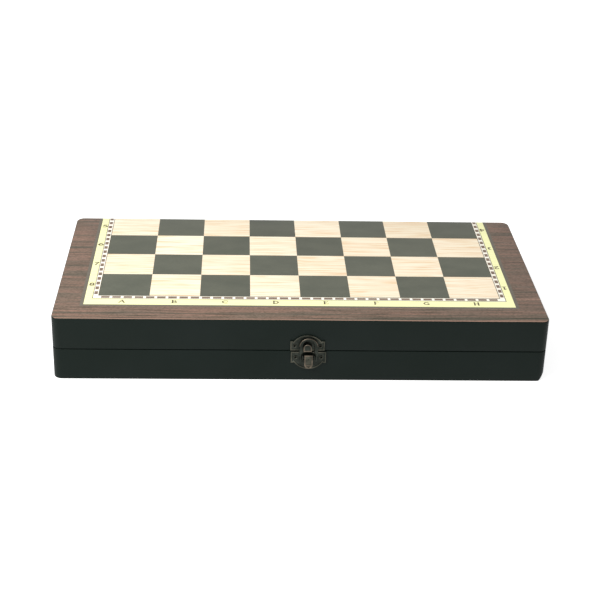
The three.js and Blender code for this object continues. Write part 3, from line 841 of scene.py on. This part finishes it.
# u runs right, v up from the parting line and w out from the front face.
LATCH_X = 4.15
ON_FRONT = Matrix(((1, 0, 0, LATCH_X), (0, 0, -1, -BACK), (0, 1, 0, PARTING), (0, 0, 0, 1)))
CATCH_SHIFT = -0.7
PLATE = 0.8
PLATE_FLOOR = 0.55
CATCH = {"half": 10.1, "foot": 0.4, "side": 6.5, "neck": 6.2, "neck_half": 8.2, "crown": 10.4, "nail": 3.4}
BASE = {"half": 10.4, "foot": 0.4, "side": 7.7, "neck": 7.4, "neck_half": 8.4, "crown": 11.8, "nail": 4.1}
NAIL_SPACING = 15
PIVOT = (-3.24, 2.35)
HOOK = (-5.3, 2.0)


def in_latch(u=0.0, v=0.0, w=0.0):
    return ON_FRONT @ at(u, v, w)


def plate_shape(size):
    """An upright plate with an arched top and a raised rim."""
    half, neck, neck_half = size["half"], size["neck"], size["neck_half"]
    bulge = (size["crown"] - neck) / neck_half
    outline = path(
        (-half, size["foot"]), (half, size["foot"]), (half, size["side"]), (neck_half + 0.4, size["side"]),
        (neck_half, neck), (-neck_half, neck, bulge), (-neck_half - 0.4, size["side"]), (-half, size["side"]),
        steps=28,
    )
    rings = [(0, 0), (0, 0.68), (0.12, PLATE), (0.75, PLATE), (0.95, PLATE_FLOOR)]
    return prism(outline, rings)


def nail_holes(u, v, depth):
    return [
        (rod(0.6, -depth, 3, sides=24), in_latch(u + side * NAIL_SPACING / 2, v)) for side in (-1, 1)
    ]


def nail(name, body, u, v):
    """A ring-headed nail."""
    profile = [
        (0, -5), (0.45, -3.8), (0.45, -0.3), (0.6, 0), (1.1, 0), (1.1, 0.3), (1.05, 0.48), (0.94, 0.52),
        (0.78, 0.45), (0.5, 0.05), (0.32, -0.6), (0, -0.65),
    ]
    piece = make(f"{name}_ringed", lathe(profile, 28), [BRONZE, RUBBED_AND_HIGHLIT], in_latch(u, v, PLATE_FLOOR))
    # The ring of the head gets the rubbed and highlit bronze: wear with a painted highlight.
    tint(piece, 1, lambda middle, normal: middle.z > PLATE_FLOOR + 0.35)
    finish_piece(piece, body, "latch_bronze", name)


def tint(piece, index, test):
    """Gives a finish to the faces of a latch piece whose middle and normal, in u, v and w, pass the test."""
    to_latch = ON_FRONT.inverted()
    for face in piece.data.polygons:
        if test(to_latch @ (face.center / MM), to_latch.to_3x3() @ face.normal):
            face.material_index = index


def on_rim(middle, normal):
    return normal.z > 0.9 and 0.7 < middle.z < 0.85


def catch_plate():
    shape = plate_shape(CATCH)
    plate = make("latch_catch_plate_rubbed_and_highlit", shape, [BRONZE, RUBBED_AND_HIGHLIT, PAINTED_HIGHLIGHT], in_latch(CATCH_SHIFT))
    tongue_block = block(-2.4, 2.4, 1, 4.4, 0.2, 2.9)
    lip_line = path((-2.4, 1), (2.4, 1), (2.4, 3.2), (-2.4, 3.2, 1), steps=24)
    lip = prism(lip_line, [(0.2, 2.7), (0, 2.85), (0, 3.38), (0.12, 3.5), (0.5, 3.5), (0.62, 3.38)])
    carve(plate, "UNION", [(tongue_block, in_latch(CATCH_SHIFT)), (lip, in_latch(CATCH_SHIFT))])
    carve(plate, "DIFFERENCE", nail_holes(CATCH_SHIFT, CATCH["nail"], 1))
    # The rim's flat top gets the rubbed and highlit bronze, which is wear with a painted highlight, and the
    # tongue's outer face gets the painted highlight bronze.
    tint(plate, 1, on_rim)
    tint(plate, 2, lambda middle, normal: middle.z > 3.41)
    finish_piece(plate, "lid", "latch_bronze", "latch_catch_plate")


def base_plate():
    plate = make("latch_base_plate_rubbed_and_highlit", plate_shape(BASE), [BRONZE, RUBBED_AND_HIGHLIT], ON_FRONT @ turned("Z", 180))
    carve(plate, "DIFFERENCE", [(block(-2.75, 2.75, -5.6, -1.1, -1, 2), ON_FRONT)])
    tools = []
    v, w = PIVOT
    for side in (-1, 1):
        tools.append((block(-0.3, 0.3, v - 1.15, v + 1.15, 0.3, w), in_latch(side * 3.4)))
        tools.append((rod(1.3, -0.299, 0.299, 0.08), in_latch(side * 3.4, v, w) @ ALONG_X))
    carve(plate, "UNION", tools)
    holes = nail_holes(0, -BASE["nail"], 1)
    carve(plate, "DIFFERENCE", [*holes, (rod(0.6, -9, 9), in_latch(0, v, w) @ ALONG_X)])
    # The rim's flat top is lightened: rubbed wear with a painted highlight.
    tint(plate, 1, on_rim)
    finish_piece(plate, "lower_half", "latch_bronze", "latch_base_plate")


LOOP_HALF = 5.5
LOOP_WINDOW_HALF = 3.3
LOOP_SPRING = 3.8
LOOP_WAIST = -2.1
LOOP_RISE = 5.2
LOOP_WINDOW_RISE = 4.15


def loop():
    """A sheet arch whose legs end in pegs in the lever's sides."""
    arch = half_ellipse(LOOP_HALF, LOOP_RISE)
    window = half_ellipse(LOOP_WINDOW_HALF, LOOP_WINDOW_RISE)[::-1]
    leg = [(4.1, -6.2), (5.0, -6.2), (5.0, -3.3), (LOOP_HALF, LOOP_WAIST)]
    jog = [(LOOP_WINDOW_HALF, LOOP_WAIST + 1.6), (4.1, LOOP_WAIST + 0.8)]
    outline = leg + arch + mirrored(leg) + mirrored(jog) + window + jog
    shape = prism(outline, rounded(1.6, 2.4, 0.25, 0.38))
    piece = make("latch_loop_highlit", shape, [BRONZE, PAINTED_HIGHLIGHT], ON_FRONT)
    v, w = HOOK
    pegs = [rod(0.4, -4.5, -1.6, 0.1), rod(0.4, 1.6, 4.5, 0.1)]
    carve(piece, "UNION", [(peg, in_latch(0, v, w) @ ALONG_X) for peg in pegs])
    # The upper outer edge of the arch, which faces the light, gets a painted highlight.
    tint(piece, 1, on_arch_edge)
    finish_piece(piece, "latch_loop", "latch_bronze", "latch_loop", sharp=50)


def half_ellipse(half, rise):
    """An arch of the loop from its right end to its left one."""
    return [(half * math.cos(a), LOOP_SPRING + rise * math.sin(a)) for a in angles_between(0, 180, 28)]


def mirrored(points):
    return [(-x, y) for x, y in reversed(points)]


def on_arch_edge(middle, normal):
    """Whether a face is on the rounded outer edge of the loop's arch, which gets a painted highlight."""
    outward = normal.x * middle.x + normal.y * (middle.y - LOOP_SPRING) > 0
    return middle.z > 2.05 and normal.z < 0.97 and middle.y > LOOP_SPRING and outward


def angles_between(start, end, steps):
    return [math.radians(start + (end - start) * k / steps) for k in range(steps + 1)]


LEVER_HALF = 2.45
LEVER_TOP = -1.4
LEVER_END = -9.9
LEVER_PANEL = 1.75
KNUCKLE = 1.25
# The blade's front runs straight from the knuckle to BEND, and flares out from there.
BEND, BEND_FRONT, BEND_BACK = -8.6, 3.3, 2.55
BLADE_DROP = (PIVOT[1] + KNUCKLE - BEND_FRONT) / (PIVOT[0] - BEND)


def lever():
    """A knuckle, a blade with raised edges and a round end that flares out."""
    v, w = PIVOT
    side = [
        (-5.3, 1.1), (-6.3, w), (BEND, BEND_BACK), (LEVER_END, 2.87), (LEVER_END, 3.62), (BEND, BEND_FRONT),
        (v, w + KNUCKLE), (v, w - KNUCKLE),
    ]
    blade = prism(side, [(0, -LEVER_HALF), (0, LEVER_HALF)])
    piece = make("latch_lever_rubbed_and_highlit", blade, [BRONZE, PAINTED_HIGHLIGHT, RUBBED_AND_HIGHLIT], ON_FRONT @ ALONG_X)
    carve(piece, "UNION", [
        (rod(KNUCKLE, -LEVER_HALF, LEVER_HALF), in_latch(0, v, w) @ ALONG_X),
        (block(-LEVER_HALF, LEVER_HALF, v, LEVER_TOP, 1.7, 3.5), ON_FRONT),
    ])
    face = rounded_rectangle(-LEVER_HALF, LEVER_HALF, LEVER_END, 3, (2.1, 2.1, 0.1, 0.1), 10)
    carve(piece, "INTERSECT", [(prism(face, [(0, 0), (0, 9)]), ON_FRONT)])
    ease(piece, 0.14, 2, 50)
    slope = math.degrees(math.atan(BLADE_DROP))
    front = in_latch(0, v, w + KNUCKLE) @ turned("X", slope) @ at(0, -v, -0.25)
    tip = prism(path((-1.4, -8.5), (1.4, -8.5, 0.6)), [(0, 0), (0, 1)])
    carve(piece, "DIFFERENCE", [
        (block(-LEVER_PANEL, LEVER_PANEL, -8, -2.2, 0, 2), front),
        (tip, in_latch(0, 0, 3.12)),
        (rod(0.55, -5, 5), in_latch(0, v, w) @ ALONG_X),
        (rod(0.6, -5, 5), in_latch(0, *HOOK) @ ALONG_X),
        (rod(0.36, 0, 3), in_latch(0, -4.3, 3.05)),
    ])
    # The lever's outward face is lightened: its recessed panel gets the rubbed and highlit bronze and its
    # raised border the painted highlight bronze.
    tint(piece, 2, lambda middle, normal: normal.z > 0.3 and middle.z > lever_front(middle.y) - 0.4)
    tint(piece, 1, lambda middle, normal: normal.z > 0.3 and middle.z > lever_front(middle.y) - 0.18)
    finish_piece(piece, "latch_lever", "latch_bronze", "latch_lever")


def lever_front(v):
    """How far out the front of the lever's blade stands at a height."""
    return BEND_FRONT + (v - BEND) * BLADE_DROP if v > BEND else BEND_FRONT - (v - BEND) / 4


# ---------------------------------------------------------------- chessmen

# Heights and radii in millimetres. stem is the narrowest radius and its height, and so is collar.
MEN = {
    "pawn": {"height": 27, "foot": 8, "stem": (2.9, 14), "collar": (4.9, 16), "head": 4.6},
    "rook": {"height": 33, "foot": 8.75, "stem": (4.6, 17), "collar": (6.2, 21), "head": 6.6},
    "knight": {"height": 38, "foot": 8.75},
    "bishop": {"height": 42, "foot": 8.75, "stem": (3.2, 21), "collar": (5.4, 25), "head": 4.8},
    "queen": {"height": 50, "foot": 9.5, "stem": (3.5, 26), "collar": (6, 30), "head": 6.2},
    "king": {"height": 57, "foot": 9.75, "stem": (3.7, 28), "collar": (6.3, 33), "head": 6.5},
}
FOOT_HEIGHT = 1.8
ON_AXIS = turned("X", -90)
TRAY_FLOOR = FELT_HIGH.z + 0.03


def foot_corners(foot):
    """The hollow underside, with its disc of felt, and the rounded rim of a foot."""
    return [
        (0, 0.35), (foot - 1.2, 0.35), (foot - 1.1, 0), (foot - 0.4, 0), (foot, 0.4, QUARTER),
        (foot, FOOT_HEIGHT - 0.6), (foot - 0.6, FOOT_HEIGHT, QUARTER), (foot - 1.3, 2.1),
    ]


def turned_corners(man):
    """The foot, stem and collar of a turned man."""
    foot, (stem, stem_height), (collar, collar_height) = man["foot"], man["stem"], man["collar"]
    return foot_corners(foot) + [
        (foot - 1.3, 2.7), (foot - 1.9, 3.7, 0.5), (foot - 2.6, 3.9), (foot - 2.8, 4.4),
        (stem + 0.25, stem_height * 0.72, -0.24), (stem, stem_height - 0.6),
        (stem + 0.5, stem_height + 0.5, -0.3), (collar - 0.6, collar_height - 0.3),
        (collar - 0.6, collar_height + 0.7, 0.8), (collar - 0.9, collar_height + 0.8),
        (stem + 0.7, collar_height + 1.1, -0.2),
    ]


def ball(radius, middle, neck):
    """A round head from the radius of its neck to the axis."""
    sweep = math.pi / 2 + math.acos(neck / radius)
    return [(neck, middle - math.sqrt(radius ** 2 - neck ** 2)), (0, middle + radius, math.tan(sweep / 4))]


def pawn_corners(man):
    return turned_corners(man) + ball(man["head"], man["height"] - man["head"], 2.9)


def rook_corners(man):
    stem, head, top = man["stem"][0], man["head"], man["height"]
    return turned_corners(man) + [
        (stem, top - 8.2, -0.1), (head - 0.9, top - 7.2, -0.3), (head, top - 6.2, 0.3), (head, top - 0.3),
        (head - 0.3, top, QUARTER), (head - 1.7, top), (head - 1.7, top - 3), (0, top - 3.3),
    ]


def bishop_corners(man):
    head, top = man["head"], man["height"]
    return turned_corners(man) + [
        (2.4, 27.4), (2.5, 28.2), (head - 0.3, 31.2, 0.22), (head, 33.4, 0.1), (3.6, 37.0, 0.14),
        (1.1, 39.9, 0.06), (0.8, 40.2), *ball(1.05, top - 1.05, 0.8),
    ]


def crown_corners(man, top, lip):
    """The flared cup of a queen or king up to its domed top."""
    stem, head = man["stem"][0], man["head"]
    return turned_corners(man) + [
        (stem, top - 13), (stem + 0.4, top - 11), (head - 0.5, lip - 1.4, -0.16), (head, lip - 0.6, 0.3),
        (head, lip), (head - 0.7, lip + 0.4, 0.3), (head - 1.3, lip + 0.3),
    ]


def queen_corners(man):
    top = man["height"]
    lip = top - 3.4
    dome = [(4.2, lip + 0.1), (1.2, top - 2.3, 0.2)]
    return crown_corners(man, top, lip) + dome + ball(1.3, top - 1.3, 0.9)


def king_corners(man):
    top = man["height"] - 6
    lip = top - 3
    return crown_corners(man, top, lip) + [(4.6, lip + 0.2), (1.5, top - 0.4, 0.22), (1.1, top), (0, top)]


CORNERS = {
    "pawn": pawn_corners, "rook": rook_corners, "bishop": bishop_corners, "queen": queen_corners,
    "king": king_corners,
}


def lean_of(profile, foot):
    """The angle at which a man leans once it lies on its foot's rim and its head."""
    edge = FOOT_HEIGHT - 0.6
    return math.atan(min((foot - r) / (h - edge) for r, h in profile if h > FOOT_HEIGHT + 2))


def head_tools(kind, man):
    """What is cut from a turned man, and what is joined to it."""
    top = man["height"]
    if kind == "rook":
        places = [turned("Z", angle) for angle in (0, 60, 120)]
        return [(block(-9, 9, -0.85, 0.85, top - 2.6, top + 1), place) for place in places], []
    if kind == "bishop":
        slit = block(0, 9, -9, 9, -0.35, 0.35)
        return [(slit, at(0.8, 0, 34.2) @ turned("Y", -52))], []
    if kind == "queen":
        places = [at(0, 0, top - 3.0) @ turned("Z", 45 * k) @ at(6.0) @ ALONG_X for k in range(8)]
        return [(rod(1.15, -1.6, 2), place) for place in places], []
    if kind == "king":
        line = path(
            (-0.7, -6.6), (0.7, -6.6), (0.5, -3.8, -0.1), (2.2, -4.0), (2.2, -2.2), (0.5, -2.4),
            (0.8, -0.1, -0.1), (-0.8, -0.1), (-0.5, -2.4, -0.1), (-2.2, -2.2), (-2.2, -4.0), (-0.5, -3.8),
        )
        cross = prism(line, rounded(-0.75, 0.75, 0.2, 0.2))
        return [], [(cross, at(0, 0, top + 0.1) @ turned("X", 90))]
    return [], []


def turned_man(kind, finishes):
    man = MEN[kind]
    profile = path(*CORNERS[kind](man), steps=7)
    piece = make(kind, lathe(profile, 48), finishes, ON_AXIS)
    cuts, joins = head_tools(kind, man)
    for operation, tools in (("DIFFERENCE", cuts), ("UNION", joins)):
        if tools:
            carve(piece, operation, [(shape, ON_AXIS @ place) for shape, place in tools])
    return piece, lean_of(profile, man["foot"])


def knight(finishes):
    """A carved horse's head on a turned foot, facing its own X."""
    neck = path(
        (-5.0, 7.6), (4.6, 7.6), (3.0, 15, 0.12), (2.6, 19.6, -0.1), (1.2, 24), (1.6, 30), (0.4, 34.2),
        (-2.6, 32.8, 0.1), (-5.4, 27, 0.12), (-6.0, 16, 0.1), steps=5,
    )
    skull = path(
        (-1.6, 22.5), (2.4, 19.6, 0.15), (5.4, 20.4), (7.2, 21.8, 0.3), (7.3, 24.2, 0.3),
        (4.8, 30.4, -0.05), (2.2, 34.4, 0.1), (-1.4, 33.4), (-3, 28), steps=4,
    )
    mane = path(
        (-3.6, 9), (-1.5, 9), (-2, 20), (-0.8, 34.8), (-1.4, 35.6), (-3.4, 34.2, 0.2), (-2.9, 33.2),
        (-5.4, 31.4, 0.3), (-4.7, 30.2), (-6.7, 27.6, 0.3), (-5.8, 26.6), (-7.2, 23.2, 0.3), (-6.2, 22.2),
        (-7.2, 18.6, 0.3), (-6.0, 17.6), (-6.6, 13.6, 0.3), (-5.2, 12.6), (-5.4, 9.6, 0.3), steps=4,
    )
    parts = [
        prism(neck, rounded(-3.4, 3.4, 1.3, 1.3)), prism(skull, rounded(-2.7, 2.7, 0.9, 0.9)),
        prism(mane, rounded(-1.5, 1.5, 0.4, 0.4)),
    ]
    cheeks, muzzle, brow, eyes, chest = (
        ((3.1, 3.2, 3.9), (0.6, 25.8, 0)), ((1.7, 1.5, 2.3), (6.1, 22.6, 0)), ((2.2, 2.0, 2.9), (4.2, 27.4, 0)),
        ((0.75, 0.55, 3.15), (3.6, 28.6, 0)), ((4.6, 6, 3.8), (-0.4, 13, 0)),
    )
    for size, place in (cheeks, muzzle, brow, eyes, chest):
        egg = bmesh.new()
        bmesh.ops.create_uvsphere(egg, u_segments=24, v_segments=14, radius=1)
        egg.transform(at(*place) @ Matrix.Diagonal((*size, 1)))
        parts.append(egg)
    for side in (-1, 1):
        ear = lathe([(0, 0), (1.2, 0.2), (1.15, 1.4), (0.7, 3.2), (0, 4.6)], 16)
        ear.transform(at(0.6, 33.4, side * 1.45) @ turned("Z", -14) @ turned("X", -90 + side * 6))
        parts.append(ear)
    piece = make("knight", join(*parts), finishes)
    remesh = piece.modifiers.new("blend", "REMESH")
    remesh.mode = "VOXEL"
    remesh.voxel_size = 0.3 * MM
    smooth = piece.modifiers.new("soften", "SMOOTH")
    smooth.iterations = 3
    smooth.factor = 0.5
    apply_modifiers(piece)
    mouth = prism([(3.8, 21.5), (9, 21.2), (9, 21.8)], [(0, -5), (0, 5)])
    nostrils = [(rod(0.3, low, high, sides=12), at(6.7, 23.2)) for low, high in ((1.5, 3), (-3, -1.5))]
    man = MEN["knight"]
    profile = path(
        *foot_corners(man["foot"]), (7.4, 2.7), (6.9, 3.7, 0.5), (6.2, 3.9), (5.8, 7.6, -0.3),
        (6.4, 8.1, 0.3), (6.1, 8.5, 0.3), (0, 8.5), steps=7,
    )
    carve(piece, "DIFFERENCE", [(mouth, at()), *nostrils])
    carve(piece, "UNION", [(lathe(profile, 48), ON_AXIS)])
    brow_out, brow_up = 3.9, 26
    return piece, math.atan((man["foot"] - brow_out) / brow_up)


def lay_down(node, source, lean, heading, roll, shift):
    """Lays a copy of a man where its solid lies. shift moves the wood's grain along the piece."""
    mesh = source.data.copy()
    mesh.transform(Matrix.Rotation(roll, 4, "Y"))
    spin = Matrix.Rotation(heading, 4, "Z") @ Matrix.Rotation(-lean, 4, "X")
    corners = [spin @ vert.co for vert in mesh.vertices]
    low = Vector([min(corner[axis] for corner in corners) for axis in range(3)])
    high = Vector([max(corner[axis] for corner in corners) for axis in range(3)])
    node_low, node_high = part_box(node)
    place = (node_low + node_high - low - high) / 2
    place.z = TRAY_FLOOR * MM - low.z
    mesh.transform(Matrix.Translation(-shift))
    piece = bpy.data.objects.new(f"{node}_carved", mesh)
    bpy.context.scene.collection.objects.link(piece)
    piece.matrix_world = Matrix.Translation(place) @ spin @ Matrix.Translation(shift)
    wood = "light_wood" if node.startswith("white") else "dark_wood"
    finish_piece(piece, "lower_half", wood, node, sharp=38)


OFFICERS = ("rook_1", "knight_1", "bishop_1", "queen", "king", "bishop_2", "knight_2", "rook_2")


PAWNS = tuple(f"pawn_{number}" for number in range(1, 9))
# How far the wood's grain is shifted from one copy to the next, in metres.
GRAIN_STEP = Vector((0.031, 0.053, 0.017))


def heading_of(colour, kind, number):
    """Which way a man's head lies, turned from the back of the box. The pawns lie across in two columns."""
    if kind != "pawn":
        return 0 if colour == "white" else math.pi
    heads_right = (colour == "white") == (number <= 4)
    return -math.pi / 2 if heads_right else math.pi / 2


def chessmen():
    for colour, wood in (("white", LIGHT_WOOD), ("black", DARK_WOOD)):
        for kind in MEN:
            source, lean = knight([wood, FELT]) if kind == "knight" else turned_man(kind, [wood, FELT])
            for face in source.data.polygons:
                if face.normal.y < -0.9 and 0.2 < face.center.y / MM < 0.5:
                    face.material_index = 1
            for name in OFFICERS + PAWNS:
                if not name.startswith(kind):
                    continue
                number = int(name[-1]) if name[-1].isdigit() else 3
                roll = 0 if kind == "knight" else 0.7 * number + len(colour + kind)
                heading = heading_of(colour, kind, number)
                lay_down(f"{colour}_{name}", source, lean, heading, roll, GRAIN_STEP * number)
            bpy.data.objects.remove(source)


# ---------------------------------------------------------------- build: linings, hinges, latch and men

for half, (body, placed) in HALVES.items():
    place = at() if half == "lower" else TURNED_OVER
    lining = make(f"{half}_felt_sheet", felt_shape(), [FELT], place)
    finish_piece(lining, body, "felt", f"{half}_felt_lining", sharp=60)
    over = -1 if half == "lower" else 1
    back = bpy.data.objects[f"{half}_back_wall"]
    carve(back, "DIFFERENCE", [
        (shape, placed @ spot) for middle in HINGE_MIDDLES.values() for shape, spot in hinge_recesses(middle)
    ])
    finish_piece(back, body, "black_paint")
    for side, middle in HINGE_MIDDLES.items():
        first = 0 if half == "lower" else 1
        node = f"{side}_hinge_{half}_leaf"
        hinge_leaf(f"{side}_{half}_brass_leaf", node, body, over * middle, first, placed)
        for number in (-1, 1):
            shape, slot = screw_shape(25 + 70 * number + 0.4 * middle)
            spot = placed @ at(over * middle + number * SCREW_SPACING / 2, SCREW_Y, RIM_Z)
            where = "left" if number < 0 else "right"
            screw = make(f"{side}_{half}_screw_{where}", shape, [BRASS], spot)
            carve(screw, "DIFFERENCE", [(slot[0], spot @ slot[1])])
            finish_piece(screw, body, "hinge_brass")

for side, middle in HINGE_MIDDLES.items():
    shape, spot = along_hinge(rod(PIN_RADIUS, -PIN_REACH, PIN_REACH, 0.3), middle)
    pin = make(f"{side}_domed_pin", shape, [BRASS], spot)
    finish_piece(pin, "lower_half", "hinge_brass", f"{side}_hinge_pin")

catch_plate()
base_plate()
loop()
lever()
latch_pin = make("latch_domed_pin", rod(0.5, -3.8, 3.8, 0.2), [BRONZE], in_latch(0, *PIVOT) @ ALONG_X)
finish_piece(latch_pin, "lower_half", "latch_bronze", "latch_pivot_pin")
for side, sign in (("left", -1), ("right", 1)):
    nail(f"latch_catch_nail_{side}", "lid", CATCH_SHIFT + sign * NAIL_SPACING / 2, CATCH["nail"])
    nail(f"latch_base_nail_{side}", "lower_half", sign * NAIL_SPACING / 2, -BASE["nail"])
chessmen()

# ---------------------------------------------------------------- camera, floor and light

CAMERA_AT = Vector((-37.2, -794.5, 403.3))
LOOKS_AT = Vector((-0.4, -47.95, TOP))
CAMERA_ROLL = 1.7
# The focal length as a share of the sensor's width.
FOCAL_SHARE = 2.3254
# In metres and watts.
KEY_AT = (-0.45, -0.34, 0.6)
KEY_SIZE = 0.5
KEY_POWER = 7.2
SKY_STRENGTH = 0.575
FLOOR_GLOW = 0.75


def build_camera():
    camera = bpy.data.objects.new("camera", bpy.data.cameras.new("camera"))
    bpy.context.scene.collection.objects.link(camera)
    aim = (LOOKS_AT - CAMERA_AT).to_track_quat("-Z", "Y").to_matrix().to_4x4()
    camera.matrix_world = at(*(CAMERA_AT * MM)) @ aim @ turned("Z", CAMERA_ROLL)
    camera.data.lens = FOCAL_SHARE * camera.data.sensor_width
    camera.data.clip_start = 0.01
    bpy.context.scene.camera = camera


def build_floor():
    sockets = {"Roughness": 0.9, "Specular IOR Level": 0.0, "Emission Strength": FLOOR_GLOW}
    finish = Finish("pale_floor", sockets)
    finish.shader.inputs["Emission Color"].default_value = grey(1)
    finish.color(finish.ramp(finish.noise((3, 3, 3)), (0.3, grey(0.60)), (0.7, grey(0.62))))
    floor = make("floor", prism(circle(5000, 96), [(0, -10), (0, -0.02)]), [finish.material])


def build_light():
    world = bpy.data.worlds.new("studio")
    world.use_nodes = True
    background = world.node_tree.nodes["Background"]
    background.inputs["Color"].default_value = grey(1)
    background.inputs["Strength"].default_value = SKY_STRENGTH
    bpy.context.scene.world = world

    data = bpy.data.lights.new("key", "AREA")
    data.shape = "DISK"
    data.size = KEY_SIZE
    data.energy = KEY_POWER
    key = bpy.data.objects.new("key", data)
    key.location = KEY_AT
    key.rotation_euler = (-Vector(KEY_AT)).to_track_quat("-Z", "Y").to_euler()
    bpy.context.scene.collection.objects.link(key)
    bpy.context.scene.view_settings.view_transform = "Standard"


build_camera()
build_floor()
build_light()
